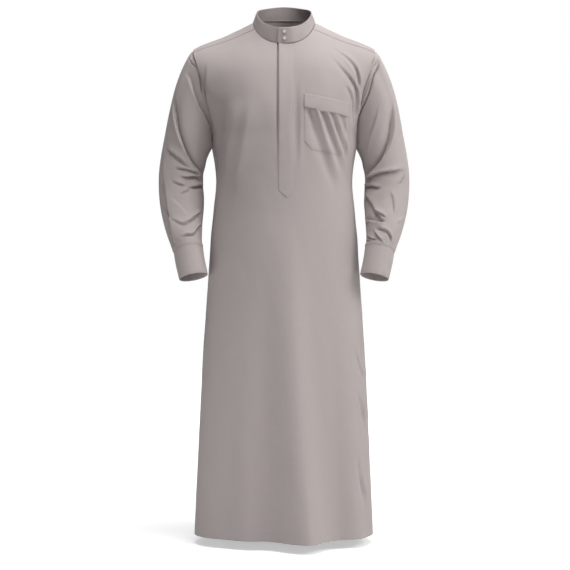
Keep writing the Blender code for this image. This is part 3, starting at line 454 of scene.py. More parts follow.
def pattern_of(x, z):
    """Pattern coordinates of the place on the front that is seen at x and z, by small corrections."""
    x, z = np.broadcast_arrays(np.asarray(x, float), np.asarray(z, float))
    across, up = x * HALF_PATTERN / SHOULDER_X, z - ARMPIT_Z
    for _ in range(60):
        point = plain_body(across, up, FRONT)
        across = np.clip(across + (x - point[..., 0]) * 0.7, -HALF_PATTERN, HALF_PATTERN)
        up = np.minimum(up + (z - point[..., 2]) * 0.7, RIDGE)
    return across, up


# %% [markdown]
# ## A shell of cloth
#
# Cloth could be a single sheet with a Solidify modifier. A grid of quads with its own inner copy does the
# same in one step and lets each edge roll in, puff or thicken as it was sewn. The corners also carry a UV map
# in metres of cloth, which the weave follows.

# %% Grids of quads and closed shells


def grid_quads(rows, columns, closed=False):
    """The quads of a grid of points, as rows of corners. A closed grid joins its last column to its first."""
    corner = np.arange(rows * columns).reshape(rows, columns)
    left = corner if closed else corner[:, :-1]
    right = np.roll(corner, -1, axis=1) if closed else corner[:, 1:]
    return np.stack([left[:-1], right[:-1], right[1:], left[1:]], axis=-1)


def grid_uvs(u, v, closed=False):
    """The UV of each quad's corners. A closed grid's u has one more column than its points."""
    last = slice(None, -1)
    u, v = np.broadcast_arrays(u, v)
    here = np.stack([u, v], axis=-1)
    return np.stack([here[last, last], here[last, 1:], here[1:, 1:], here[1:, last]], axis=2)


def shell(name, outer, inner, quads, uvs, material, turned_over=False):
    """A closed thin wall between two copies of the same quads, with rims round every open edge."""
    outer, inner = outer.reshape(-1, 3), inner.reshape(-1, 3)
    quads, uvs = quads.reshape(-1, 4), uvs.reshape(-1, 4, 2)
    if turned_over:
        quads, uvs = quads[:, ::-1], uvs[:, ::-1]
    count = len(outer)
    edges = np.concatenate([quads[:, [i, (i + 1) % 4]] for i in range(4)])
    _, first, uses = np.unique(np.sort(edges, axis=1), axis=0, return_index=True, return_counts=True)
    rim = edges[first[uses == 1]]
    point_uv = np.zeros((count, 2))
    point_uv[quads.ravel()] = uvs.reshape(-1, 2)
    sides = np.column_stack([rim[:, 1], rim[:, 0], rim[:, 0] + count, rim[:, 1] + count])
    every = np.concatenate([quads, quads[:, ::-1] + count, sides])
    every_uv = np.concatenate([uvs, uvs[:, ::-1], point_uv[sides % count]])
    return mesh_piece(name, np.concatenate([outer, inner]), every, every_uv, material)


def add_object(name, data):
    """A new object in the scene, at the origin."""
    made = bpy.data.objects.new(name, data)
    bpy.context.scene.collection.objects.link(made)
    return made


def new_mesh(name, points, edges, faces):
    """A mesh from points and the edges or faces between them."""
    mesh = bpy.data.meshes.new(name)
    mesh.from_pydata(points, edges, faces)
    return mesh


def mesh_piece(name, points, quads, uvs, material):
    """An object at the origin from points, quads and the UV of each quad's corners."""
    mesh = new_mesh(name, points.tolist(), [], quads.tolist())
    mesh.uv_layers.new(name="cloth").data.foreach_set("uv", uvs.astype(np.float32).ravel())
    mesh.materials.append(material)
    mesh.shade_smooth()
    mesh.set_sharp_from_angle(angle=math.radians(55))
    print(f"{name}: {len(quads)} quads")
    return add_object(name, mesh)


def dress(piece, node):
    """The piece stands for its CAD node, which it hides, and rides on the robe."""
    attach(piece, "root")
    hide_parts(node)
    return piece


# %% [markdown]
# ## Suiting
#
# The robe is a plain-woven polyester and viscose suiting in taupe grey. Its fine yarns give a matt, even face
# with a soft bloom at grazing angles. Weave could come from an image. Two wave textures at the yarn spacing
# and a stretched noise for uneven yarns do it at true scale and from any distance.

# %% Colours and a node helper


def srgb(code):
    """A hex sRGB colour as linear RGBA."""
    channels = [int(code[i : i + 2], 16) / 255 for i in (0, 2, 4)]
    return [c / 12.92 if c <= 0.04045 else ((c + 0.055) / 1.055) ** 2.4 for c in channels] + [1.0]


def set_inputs(tree, node, **links):
    """Links or sets a node's inputs by name. A name's spaces are underscores, and an underscore with a
    number picks the input at that place."""
    for key, value in links.items():
        socket = node.inputs[int(key[1:])] if key[1:].isdigit() else node.inputs[key.replace("_", " ")]
        if isinstance(value, bpy.types.NodeSocket):
            tree.links.new(value, socket)
        else:
            socket.default_value = value
    return node


def add_node(tree, kind, settings=None, **links):
    """Adds a node with its settings, and links or sets its inputs."""
    node = tree.nodes.new(kind)
    for key, value in (settings or {}).items():
        setattr(node, key, value)
    return set_inputs(tree, node, **links)


def new_material(name):
    """An empty node material with its shader."""
    material = bpy.data.materials.new(name)
    material.use_nodes = True
    return material, material.node_tree, material.node_tree.nodes["Principled BSDF"]


# %% The suiting
YARN_SPACING = 0.42 * MM  # centre to centre, warp and weft
STREAKS = ((260.0, 22.0, 1.0), (22.0, 260.0, 1.0))  # to the metre: about 4 by 45 mm, along each yarn
TAUPE, TAUPE_LIGHT = "aba2a0", "ada4a2"


def make_suiting():
    """Plain weave, matt, with faintly uneven yarns and a light bloom of surface fibres."""
    material, tree, shader = new_material("polyester_viscose_suiting")
    cloth = add_node(tree, "ShaderNodeUVMap", {"uv_map": "cloth"}).outputs["UV"]
    waves = []
    # A wave texture turns through 20 radians times its scale in a metre, so each wave is two yarns wide.
    for direction in ("X", "Y"):
        wave = add_node(
            tree, "ShaderNodeTexWave", {"wave_type": "BANDS", "bands_direction": direction},
            Vector=cloth, Scale=1 / YARN_SPACING / 20 * math.pi, Distortion=0.0,
        )
        waves.append(wave.outputs["Fac"])
    weave = add_node(tree, "ShaderNodeMath", {"operation": "MULTIPLY"}, _0=waves[0], _1=waves[1])
    streaks = []
    for stretch in STREAKS:
        placed = add_node(tree, "ShaderNodeMapping", Vector=cloth, Scale=stretch)
        noise = add_node(tree, "ShaderNodeTexNoise", Vector=placed.outputs["Vector"], Scale=1.0, Detail=3.0)
        streaks.append(noise.outputs["Fac"])
    uneven = add_node(tree, "ShaderNodeMath", {"operation": "ADD"}, _0=streaks[0], _1=streaks[1])
    share = add_node(tree, "ShaderNodeMapRange", Value=uneven.outputs[0], From_Min=0.75, From_Max=1.25)
    colour = add_node(
        tree, "ShaderNodeMix", {"data_type": "RGBA"}, _0=share.outputs["Result"], _6=srgb(TAUPE),
        _7=srgb(TAUPE_LIGHT),
    )
    bump = add_node(tree, "ShaderNodeBump", Strength=0.08, Distance=0.10 * MM, Height=weave.outputs[0])
    set_inputs(
        tree, shader, Base_Color=colour.outputs[2], Normal=bump.outputs["Normal"], Roughness=0.82,
        Specular_IOR_Level=0.30, Sheen_Weight=0.10, Sheen_Roughness=0.50,
    )
    return material


SUITING = make_suiting()
print("Cloth:", SUITING.name)

# %% [markdown]
# ## Cloth laid on a surface
#
# Every piece of cloth is made in one way. A flat grid is carried onto the body, the neck or an arm, and gets
# a thin wall. A panel or patch keeps the grid's outline, and a sleeve or cuff closes into a tube. A cloth
# simulation could drape flat cuts instead, but a grid on a known surface falls the same way each time.

# %% Panels, patches and tubes
CLOTH = 0.9 * MM  # the shells are thinner than the solids that they replace
MIRROR = np.array((-1, 1, 1))  # turns the wearer's left into the right


def lay_cloth(name, node, place, out, u, v, wall=CLOTH, keep=..., turned_over=False):
    """A piece of cloth on a surface. Place gives the grid's points at a distance out from the surface, u and
    v are the grid's place on flat cloth, and keep picks the quads that stay."""
    quads, uvs = grid_quads(*u.shape), grid_uvs(u, v)
    piece = shell(name, place(out), place(out - wall), quads[keep], uvs[keep], SUITING, turned_over)
    return dress(piece, node)


def close_tube(name, node, outer, inner, girth, down, mirrored):
    """A tube of cloth from closed rings for the wearer's left arm, or mirrored for the right one."""
    flip = MIRROR if mirrored else 1
    wide = np.linspace(0, girth, outer.shape[1] + 1)[None]
    piece = shell(
        name, outer * flip, inner * flip, grid_quads(*outer.shape[:2], closed=True),
        grid_uvs(wide, -down[:, None], closed=True), SUITING, turned_over=mirrored,
    )
    return dress(piece, node)


# %% [markdown]
# ## Front and back panels
#
# A panel's grid runs from the hem to the seam at its top. Columns crowd together at the side seams, where the
# sewn edge rolls in and makes the thin dark line that a seam shows. Near the neck the columns follow the turn
# of the neckline. The turned-up hem is held by small hidden tacks, which draw a faint line round the skirt.

# %% Yoke seams and neckline
NECK_FRONT_ANGLE = math.radians(46.7)
NECK_FULLNESS = 1.1  # how far the front of the neckline fills out from a point towards a round
NECK_BACK_ANGLE = math.radians(72.5)
YOKE_FRONT_ANGLE = {"neck": math.radians(66.8), "armhole": math.radians(71.5)}
YOKE_BACK_Z = -0.142
HALF_NECK = math.asin(NECK_HALF_WIDTH / SHOULDER_X) / (math.pi / 2) * HALF_PATTERN


def yoke_front_up(across):
    """Where the yoke's front seam crosses the pattern: it runs down a little towards the neck."""
    t = (HALF_PATTERN - np.abs(np.asarray(across, float))) / (HALF_PATTERN - HALF_NECK)
    drop = YOKE_FRONT_ANGLE["armhole"] - YOKE_FRONT_ANGLE["neck"]
    return ARCH_RADIUS * (YOKE_FRONT_ANGLE["armhole"] - drop * t)


def yoke_back_up(across):
    """Where the yoke's back seam crosses the pattern, level with YOKE_BACK_Z all the way."""
    sine = np.sin(np.asarray(across, float) / HALF_PATTERN * math.pi / 2)
    return ARCH_RADIUS * np.arcsin((YOKE_BACK_Z - ARMPIT_Z) / (shoulder_line(SHOULDER_X * sine) - ARMPIT_Z))


def neckline(turn, gap=0.0):
    """Across and up of the neckline at a turn round the neck: 0 front, 90 degrees left, 180 back. The up is
    measured from the shoulder line, and a gap moves the point away from the neck."""
    ahead = np.cos(turn)
    deep = np.where(ahead > 0, NECK_FRONT_ANGLE, NECK_BACK_ANGLE)
    fullness = np.where(ahead > 0, (1 + NECK_FULLNESS) / (1 + NECK_FULLNESS * np.maximum(ahead, 0)), 1)
    up = -(math.pi / 2 - deep) * ARCH_RADIUS * ahead * fullness
    return HALF_NECK * np.sin(turn) + gap * np.sin(turn), up - gap * ahead


# At this turn round the neck, the neckline meets the yoke's front seam.
quarter = np.linspace(0, math.pi / 2, 901)
YOKE_NECK_TURN = float(np.interp(float(yoke_front_up(HALF_NECK)) - RIDGE, neckline(quarter)[1], quarter))
print(f"The yoke's front seam meets the neck {math.degrees(YOKE_NECK_TURN):.0f} degrees round from the front")


# %% Columns, rows and seams of a panel
SEAM_DIP, SEAM_ROLL = 1.8 * MM, 2.0 * MM  # how deep and how wide a sewn edge rolls in
FAR = 1.0  # stands for the distance to a seam that isn't there, at the neckline
HEM_TURN_UP = 77 * MM
TACK_SPACING = 11 * MM


def stations(start, end, step, crowd_start=True, crowd_end=True):
    """Stations from start to end about a step apart, with closer ones at a sewn end."""
    close = np.array([0.9, 2.0, 3.4, 5.4]) * MM
    length = abs(end - start)
    first = np.concatenate([[0.0], close]) if crowd_start else np.array([0.0])
    last = length - (np.concatenate([[0.0], close])[::-1] if crowd_end else np.array([0.0]))
    count = max(1, round((last[0] - first[-1]) / step))
    middle = np.linspace(first[-1], last[0], count + 1)[1:-1]
    return start + np.sign(end - start) * np.concatenate([first, middle, last])


SIDE_DIP, SIDE_ROLL = 7.5 * MM, 3.2 * MM  # at the armholes and side seams
UNDERARM_DIP, UNDERARM_ROLL = 18.0 * MM, 9.5 * MM


def side_depth(up):
    """How deep the armhole and side seams sink: less on top of the shoulder, where the cloth lies flat."""
    return SIDE_DIP * (1 - 0.75 * smooth_step((up - RIDGE + 0.060) / 0.045))


def seam_dip(distance, depth=SEAM_DIP, roll=SEAM_ROLL):
    """How far the cloth rolls in at a distance from a seam."""
    return depth * bell(distance, roll)


def underarm(up):
    """The share of the deep crease under the arm at a height over the armpit line."""
    return smooth_step(up / 0.02) * smooth_step((0.135 - up) / 0.10)


def underarm_dip(distance, up):
    """How much further the cloth sinks beside the seams under the arm."""
    return UNDERARM_DIP * underarm(up) * bell(distance, UNDERARM_ROLL)


def hem_tacks(across, up):
    """The hem's tacked line: a faint groove, with a dimple at each tack."""
    groove = 0.45 * MM * bell(up - HEM_UP - HEM_TURN_UP, 2.2 * MM)
    dimples = 0.5 + 0.5 * np.cos(across / TACK_SPACING * 2 * math.pi)
    return groove * (0.5 + 0.9 * dimples**4)


def even_turns(path, start, end, step):
    """Turns from start to end that are about a step apart along a path of points, and closer at its ends."""
    fine = np.linspace(start, end, 3000)
    run = run_along(path(fine))
    return np.interp(stations(0.0, float(run[-1]), step), run, fine)


def with_columns(columns, extra, clear):
    """Columns with extra ones put in. Those that are no further than clear from an extra one make room."""
    away = np.abs(columns[:, None] - extra).min(axis=1)
    return np.sort(np.append(columns[away > clear], extra))


neck_columns = HALF_NECK * np.sin(np.linspace(-YOKE_NECK_TURN, YOKE_NECK_TURN, 41))
side_columns = stations(HALF_PATTERN - SEAM_GAP, neck_columns[-1] + 2 * MM, 4.6 * MM, crowd_end=False)[::-1]
FRONT_COLUMNS = np.concatenate([-side_columns[::-1], neck_columns, side_columns])
# The front is slit open under the placket, down to here.
SLIT_ACROSS, SLIT_END_Z = (3.7 * MM, 4.9 * MM), -0.440
FRONT_COLUMNS = with_columns(FRONT_COLUMNS, SLIT_ACROSS, 0.9 * MM)
# Close columns for the groove beside the placket's free edge.
FRONT_COLUMNS = with_columns(FRONT_COLUMNS, np.arange(-18.0, -10.0, 1.0) * MM, 0.6 * MM)


def panel_grid(columns, top):
    """Across and up of a grid from the hem to a top edge: level rows below the armpit, and rows that lean
    with the top edge above it."""
    level = stations(HEM_UP, 0.0, 6.2 * MM, crowd_end=False)
    shares = stations(0.0, float(top.max()), 5.2 * MM, crowd_start=False) / float(top.max())
    up = np.concatenate([np.repeat(level[:-1, None], len(columns), axis=1), shares[:, None] * top[None]])
    return np.broadcast_to(columns, up.shape), up


def panel_out(across, up, top_distance):
    """How far out a panel's cloth lies: rolled in at its seams and under the arm, and tacked at the hem."""
    side_distance = HALF_PATTERN - np.abs(across)
    at_seams = -seam_dip(side_distance, side_depth(up), SIDE_ROLL) - seam_dip(top_distance)
    return at_seams - hem_tacks(across, up) - underarm_dip(side_distance, up)


# %% The front
front_top = yoke_front_up(FRONT_COLUMNS) - SEAM_GAP
in_neck = np.abs(FRONT_COLUMNS) <= neck_columns[-1] + 1e-6
front_top[in_neck] = RIDGE + neckline(np.arcsin(FRONT_COLUMNS[in_neck] / HALF_NECK), SEAM_GAP)[1]
across, up = panel_grid(FRONT_COLUMNS, front_top)
top_distance = np.where(in_neck, FAR, front_top) - up
slit = (across[:-1, :-1] == SLIT_ACROSS[0]) & (up[:-1, :-1] + ARMPIT_Z > SLIT_END_Z)
front = lay_cloth(
    "front_panel", "front", lambda out: body(across, up, FRONT, out), panel_out(across, up, top_distance),
    across, up, keep=~slit,
)

# %% The back
BACK_COLUMNS = stations(-(HALF_PATTERN - SEAM_GAP), HALF_PATTERN - SEAM_GAP, 5.0 * MM)
back_top = yoke_back_up(BACK_COLUMNS) - SEAM_GAP / 2
across, up = panel_grid(BACK_COLUMNS, back_top)
back = lay_cloth(
    "back_panel", "back", lambda out: body(across, up, BACK, out), panel_out(across, up, back_top - up),
    across, up, turned_over=True,
)

# %% [markdown]
# ## The yoke
#
# The yoke is one panel over both shoulders. Its front seams lie forward of the shoulder line, its back seam
# lies across the shoulder blades, and the neck is cut out of its front edge. A row of top stitching runs on
# the yoke beside each seam, in a shallow groove that it pulls into the cloth.

# %% The yoke
YOKE_STITCH = 5.5 * MM  # from the seam to the top stitching
YOKE_GROOVE, GROOVE = 0.5 * MM, 0.35 * MM  # how deep stitches sink here, and in the firmer pieces
YOKE_DEPTH = 0.22  # for spacing its rows
NAPE_DROP = 8 * MM  # the cloth hangs straight down from the collar at the nape before it slopes away
NAPE_RISE = 7 * MM  # and climbs this far up the back of the neck


def nape_share(ahead):
    """How much a direction from the middle of the neck points back: ahead is 1 in front and -1 behind."""
    return smooth_step(-ahead / 0.8)


def nape_drop(across, up):
    """How far the yoke behind the neck hangs below the smooth body, or below 0 how far it climbs."""
    neck_up = (math.pi / 2 - NECK_BACK_ANGLE) * ARCH_RADIUS
    rounds = np.hypot(across / HALF_NECK, up / neck_up)
    away = np.maximum(rounds - 1, 0) * neck_up
    behind = nape_share(-up / neck_up / np.maximum(rounds, 0.1))
    near = np.exp(-away / (3 * MM))
    return (NAPE_DROP * (1 - near) * bell(away, 45 * MM) - NAPE_RISE * near) * behind


def on_yoke(across, up, out=0.0):
    """Points on the yoke, with its drop behind the neck."""
    points = over_shoulder(across, up, body, out)
    points[..., 2] -= np.where(up < 0, 0, nape_drop(across, up))
    return points


def stitch_groove(distance, depth=YOKE_GROOVE, width=1.5 * MM):
    """The shallow groove that a row of stitches pulls into the cloth."""
    return depth * bell(distance, width)


left_neck = even_turns(lambda turn: np.stack(neckline(turn), axis=-1), YOKE_NECK_TURN, math.pi, 4.2 * MM)


def yoke_half():
    """Across and up of the yoke on the wearer's left: rows from the front seam or neckline to the back seam.
    Its columns run from the armhole in to the neck and then round the neckline to the centre back."""
    outside = stations(HALF_PATTERN - SEAM_GAP, neck_columns[-1], 4.6 * MM, crowd_end=False)[:-1]
    neck_across, neck_up = neckline(left_neck, SEAM_GAP)
    start_across = np.concatenate([outside, neck_across])
    start_up = np.concatenate([yoke_front_up(outside) + SEAM_GAP - RIDGE, neck_up])
    # Each line of the grid ends on the back seam, at an even share of the way from armhole to middle.
    away = run_along(np.stack([start_across, start_up], axis=-1))
    end_across = np.interp(away, [0, away[-1]], [HALF_PATTERN - SEAM_GAP, 0.0])
    keep = bell(away, 6 * MM)
    end_across = end_across * (1 - keep) + start_across * keep
    end_up = RIDGE - yoke_back_up(end_across) - SEAM_GAP / 2
    shares = stations(0.0, YOKE_DEPTH, 4.6 * MM) / YOKE_DEPTH
    across = start_across + (end_across - start_across) * shares[:, None]
    return across, start_up + (end_up - start_up) * shares[:, None]


half_across, half_up = yoke_half()
across = np.concatenate([-half_across, half_across[:, -2::-1]], axis=1)
up = np.concatenate([half_up, half_up[:, -2::-1]], axis=1)
from_front = np.where(np.abs(across) > neck_columns[-1], up - (yoke_front_up(across) - RIDGE), FAR)
from_back = RIDGE - yoke_back_up(across) - up
side_out = -seam_dip(HALF_PATTERN - np.abs(across), side_depth(RIDGE - np.abs(up)), SIDE_ROLL)
yoke_out = side_out - seam_dip(from_front) - seam_dip(from_back)
yoke_out = yoke_out - stitch_groove(from_front - YOKE_STITCH) - stitch_groove(from_back - YOKE_STITCH)
yoke = lay_cloth("yoke_panel", "yoke", lambda out: on_yoke(across, up, out), yoke_out, across, up)

# %% [markdown]
# ## Placket, pocket and band
#
# These lie on the front, so each is a grid over the same surface, lifted a little. The placket's free edge is
# a fold of doubled cloth that stands off the robe and throws a thin shadow, and its other edge is stitched
# down. The pocket is flat on the robe and follows every crease under it. The band over the pocket's mouth is
# stiffer, so it bridges the creases and stays smooth.

# %% A patch on the front


def patch(name, node, x, z, lift, wall, pocket_creases=True):
    """A patch on the front through seen places: x and z arrays, its outer lift and its wall."""
    across, up = pattern_of(x, z)
    return lay_cloth(name, node, lambda out: body(across, up, FRONT, out, pocket_creases), lift, x, z, wall)


def patch_grid(columns, bottom, top, step):
    """Seen x and z of a patch's points, in rows from a bottom to a top profile."""
    length = float((top - bottom).max())
    shares = stations(0.0, length, step) / length
    z = bottom + (top - bottom) * shares[:, None]
    return np.broadcast_to(columns, z.shape), z


def rim_distance(x, end_distance):
    """How far a patch's points lie from its nearest edge: one of its sides, or an end."""
    return np.minimum(np.minimum(x - x[0, 0], x[0, -1] - x), end_distance)


# %% The placket
PLACKET_LEFT, PLACKET_RIGHT = -14.5 * MM, 25.0 * MM
PLACKET_SHOULDER_Z, PLACKET_TIP_X, PLACKET_TIP_Z = -0.4550, 8.0 * MM, -0.4740
PLACKET_STITCH = 3.2 * MM  # from its right edge to the stitching that holds it
PLACKET_LIFT, PLACKET_EDGE_LIFT = 1.7 * MM, 3.6 * MM  # of the stitched side and the free edge
PLACKET_EDGE_RISE = 0.24  # the free edge lifts off over this length above the placket's end
COLLAR_SEAM_Z = -0.062  # about where the placket's top meets the collar
TACK_Z = -0.4190

columns = with_columns(stations(PLACKET_LEFT, PLACKET_RIGHT, 2.6 * MM), [PLACKET_TIP_X], 1.0 * MM)
bottom = np.interp(
    columns, (PLACKET_LEFT, PLACKET_TIP_X, PLACKET_RIGHT),
    (PLACKET_SHOULDER_Z, PLACKET_TIP_Z, PLACKET_SHOULDER_Z),
)
top_across = pattern_of(columns, np.full_like(columns, COLLAR_SEAM_Z))[0]
top_up = neckline(np.arcsin(top_across / HALF_NECK), 2 * SEAM_GAP)[1]
top = plain_body(top_across, RIDGE + top_up, FRONT)[:, 2]
x, z = patch_grid(columns, bottom, top, 5.0 * MM)
free_edge = bell(x - PLACKET_LEFT, 20 * MM)
standing = smooth_step((z - PLACKET_SHOULDER_Z) / PLACKET_EDGE_RISE)
lift = PLACKET_LIFT + (PLACKET_EDGE_LIFT - PLACKET_LIFT) * free_edge * standing
lift = lift - seam_dip(rim_distance(x, (z - bottom) * 0.9), 0.9 * MM, 0.9 * MM)
lift = lift - stitch_groove(PLACKET_RIGHT - x - PLACKET_STITCH, 0.8 * MM, 1.6 * MM)
lift = lift - stitch_groove(z - TACK_Z)
# The free edge waves a little along its length.
lift = lift + 0.3 * MM * np.sin(z / (55 * MM) * 2 * math.pi) * free_edge
placket = patch("placket_band", "placket", x, z, lift, 1.1 * MM)

# %% The pocket
# Corners as seen from the front, in mm, anticlockwise from the upper left.
POCKET = ((52, -202), (52, -325), (71, -347), (147, -361), (166, -342), (166, -221))
POCKET_LIFT, POCKET_STITCH, POCKET_STITCH_GAP = 1.5 * MM, 2.4 * MM, 4.5 * MM  # the gap is between its rows
pocket = np.array(POCKET) * MM
pocket_left, pocket_right = pocket[0, 0], pocket[-1, 0]
columns = with_columns(stations(pocket_left, pocket_right, 3.6 * MM), pocket[2:4, 0], 0.0)
bottom = np.interp(columns, pocket[1:5, 0], pocket[1:5, 1])
pocket_top = np.interp(columns, pocket[[0, 5], 0], pocket[[0, 5], 1])
x, z = patch_grid(columns, bottom, pocket_top, 4.2 * MM)
from_rim = rim_distance(x, (z - bottom) * 0.85)
lift = POCKET_LIFT - seam_dip(from_rim, 1.0 * MM, 1.0 * MM)
lift = lift - stitch_groove(from_rim - POCKET_STITCH, GROOVE, 1.2 * MM)
pocket_piece = patch("pocket_patch", "pocket", x, z, lift, 0.8 * MM)

# %% The band over the pocket's mouth
BAND_DROP_LEFT, BAND_DROP_RIGHT = 37.5 * MM, 36.5 * MM
BAND_LIFT, BAND_BULGE = 2.1 * MM, 2.6 * MM  # along its top, and how much further its lower edge stands off
band_left, band_right = pocket_left - 0.3 * MM, pocket_right + 1.5 * MM
columns = stations(band_left, band_right, 3.4 * MM)
t = (columns - band_left) / (band_right - band_left)
band_top = np.interp(columns, pocket[[0, 5], 0], pocket[[0, 5], 1]) + 0.4 * MM
drop = BAND_DROP_LEFT + (BAND_DROP_RIGHT - BAND_DROP_LEFT) * t
band_bottom = band_top - drop + 1.2 * MM * np.sin(t * 2 * math.pi * 1.6 + 0.6)
x, z = patch_grid(columns, band_bottom, band_top, 3.6 * MM)
low = 1 - (z - band_bottom) / (band_top - band_bottom)
lift = BAND_LIFT + BAND_BULGE * smooth_step(low) - seam_dip(rim_distance(x, band_top - z), 1.3 * MM, 1.0 * MM)
lift = lift - seam_dip(z - band_bottom, 0.5 * MM, 1.2 * MM)
band = patch("pocket_band", "pocket_flap", x, z, lift, 1.0 * MM, pocket_creases=False)

# %% [markdown]
# ## The stand collar
#
# A stand collar is one interlined strip. It starts a little past the middle, on the wearer's right, where it
# lies over its other end, and runs round the neck by the wearer's left. Its edges are turned in, so the top
# is a rounded fold, and a row of stitching runs close to each long edge. It could be a flat strip that a
# curve bends. A formula for its two edges keeps the lower one on the neckline.

# %% The collar's surface
COLLAR_TOP_HALF_WIDTH = 0.0738
COLLAR_TOP_FRONT = (-0.0835, -0.0200)  # y and z at the centre front
COLLAR_TOP_BACK = (0.0335, 0.0545)
COLLAR_SIDE_RISE = 0.0115
COLLAR_LAP_X = -0.0165
COLLAR_UNDERLAP_X = 0.0150
# The collar stands off over this first turn, and comes down to the neckline over the next.
COLLAR_LAP_TURN, COLLAR_LAP_BLEND = math.radians(25.0), math.radians(20.0)
COLLAR_STITCH = 2.6 * MM
NAPE_TUCK = 2.4 * MM  # how far the collar reaches down over the yoke's edge at the nape


def collar_top(turn):
    """The collar's upper edge: an oval that is tilted down to the front."""
    back_share = (1 - np.cos(turn)) / 2
    y, z = (f + (b - f) * back_share for f, b in zip(COLLAR_TOP_FRONT, COLLAR_TOP_BACK))
    x = COLLAR_TOP_HALF_WIDTH * np.sin(turn)
    return np.stack([x, y, z + COLLAR_SIDE_RISE * np.sin(turn) ** 4], axis=-1)


def collar_base(turn):
    """The neckline in space."""
    return over_shoulder(*neckline(turn), plain_body)


def collar_point(turn, share, out):
    """A point on the collar, from its seam (0) to its upper edge (1), moved out by a distance."""
    turn, share, out = np.broadcast_arrays(turn, share, out)
    base, top = collar_base(turn), collar_top(turn)
    base[..., 2] += (NAPE_RISE - NAPE_TUCK) * nape_share(np.cos(turn))
    ahead, behind = turn + 0.02, turn - 0.02
    run = collar_base(ahead) + collar_top(ahead) - collar_base(behind) - collar_top(behind)
    outward = np.cross(run, top - base)
    outward /= np.linalg.norm(outward, axis=-1, keepdims=True)
    clear_of_seam = (2 * SEAM_GAP * (1 - share))[..., None] * np.array((0, 0, 1))
    return base + (top - base) * share[..., None] + clear_of_seam + outward * out[..., None]


def turn_at(x, share):
    """The turn round the neck at which the collar's front is at x."""
    low, high = -0.6, 0.6
    for _ in range(40):
        centre = (low + high) / 2
        here = collar_point(centre, share, 0.0)[0]
        low, high = (centre, high) if here < x else (low, centre)
    return centre


def collar_lap(turns):
    """How far the collar stands off the neckline, where its free end lies over the other."""
    return LAP * (1 - smooth_step((turns - collar_start - COLLAR_LAP_TURN) / COLLAR_LAP_BLEND))


collar_start, collar_end = turn_at(COLLAR_LAP_X, 0.5), turn_at(COLLAR_UNDERLAP_X, 0.5) + 2 * math.pi

# %% The collar
COLLAR_HEIGHT, COLLAR_GIRTH = 0.046, 0.49  # of the strip, for spacing its rows and columns
TURN_LENGTH = 0.078  # length of the strip for each radian round the neck
COLLAR_WAVER = (60, 0.25)  # size and depth of the unevenness, in mm
turns = even_turns(lambda turn: collar_point(turn, 0.5, 0.0), collar_start, collar_end, 2.6 * MM)
shares = (stations(0.0, COLLAR_HEIGHT, 2.6 * MM) / COLLAR_HEIGHT)[:, None]
from_edge = np.minimum(shares, 1 - shares) * COLLAR_HEIGHT
from_end = np.minimum(turns - turns[0], turns[-1] - turns) / (turns[-1] - turns[0]) * COLLAR_GIRTH
over = collar_lap(turns) - stitch_groove(from_edge - COLLAR_STITCH, GROOVE, 1.1 * MM)
roll = seam_dip(np.minimum(from_edge, from_end), 0.8 * MM, 0.8 * MM)
over = over + waver(turns * 75, shares * 46, *COLLAR_WAVER, seed=29)
u, v = np.broadcast_arrays(turns * TURN_LENGTH, shares * COLLAR_HEIGHT)
collar = lay_cloth(
    "stand_collar", "collar", lambda out: collar_point(turns, shares, out), over - roll, u, v,
    wall=STAND - 2 * roll,
)

# %% [markdown]
# ## Sleeves
#
# A sleeve is a stack of rings along the arm. Its first ring is the armhole's own edge, and over the first
# third of its length that outline turns into the round of the arm. Creases gather in the crook of the elbow
# and above the cuff, and a long drag runs from the shoulder to the crook. The cloth puffs a little past the
# armhole seam, because the sleeve's cap is eased into it.

# %% The arm's rings
# In mm, from the armhole to the end of the cuff, for the wearer's left arm.
# Columns: outer x, outer z, inner x, inner z, middle y, half depth.
ARM_RINGS = (
    (244.5, -69, 199, -295, 0, 61),
    (259, -88, 203, -304, 0, 62.5),
    (275, -120, 205, -315, 0, 63.5),
    (290, -160, 205, -328, 1, 64),
    (302, -204, 206, -342, 3, 64),
    (312.5, -250, 208.5, -360, 5, 63),
    (322, -298, 213, -380, 7, 62),
    (331.5, -348, 218, -402, 8, 61),
    (338, -396, 219, -424, 8, 59.5),
    (338.5, -440, 217, -452, 5, 57.5),
    (334.5, -485, 216, -487, -4, 56),
    (326, -527, 218, -521, -16, 54),
    (314, -567, 220, -556, -30, 51.5),
    (302, -597, 220, -585, -40, 47),
    (294.5, -616, 216.5, -600, -47, 41),
    (290, -638, 212.5, -624, -53, 40),
    (284, -664, 207, -650, -60, 39),
    (278, -689, 202, -673, -66, 38),
)
CUFF_RINGS = 3
CUFF_START = len(ARM_RINGS) - 1 - CUFF_RINGS
SLEEVE_BLEND = 0.30
arm_curves = [curve_through(range(len(ARM_RINGS)), values) for values in np.array(ARM_RINGS, float).T * MM]
outer_x, outer_z, inner_x, inner_z, middle_y, half_depth = arm_curves


def arm_axis(station):
    """The middle of the arm at stations along the table of rings, and half its width as a vector."""
    outer = np.stack([outer_x(station), middle_y(station), outer_z(station)], axis=-1)
    inner = np.stack([inner_x(station), middle_y(station), inner_z(station)], axis=-1)
    return (outer + inner) / 2, (outer - inner) / 2


def arm_rings(station, angles):
    """Rings at the angles round them (0 outer, 90 degrees front, 180 inner), and how far down each is."""
    centre, half = arm_axis(station)
    ahead, behind = arm_axis(station + 0.3)[0], arm_axis(station - 0.3)[0]
    depth = np.cross(ahead - behind, half)
    depth *= (half_depth(station) / np.linalg.norm(depth, axis=1))[:, None]
    points = centre[:, None] + half[:, None] * np.cos(angles)[None, :, None]
    points = points + depth[:, None] * np.sin(angles)[None, :, None]
    return points, run_along(centre)


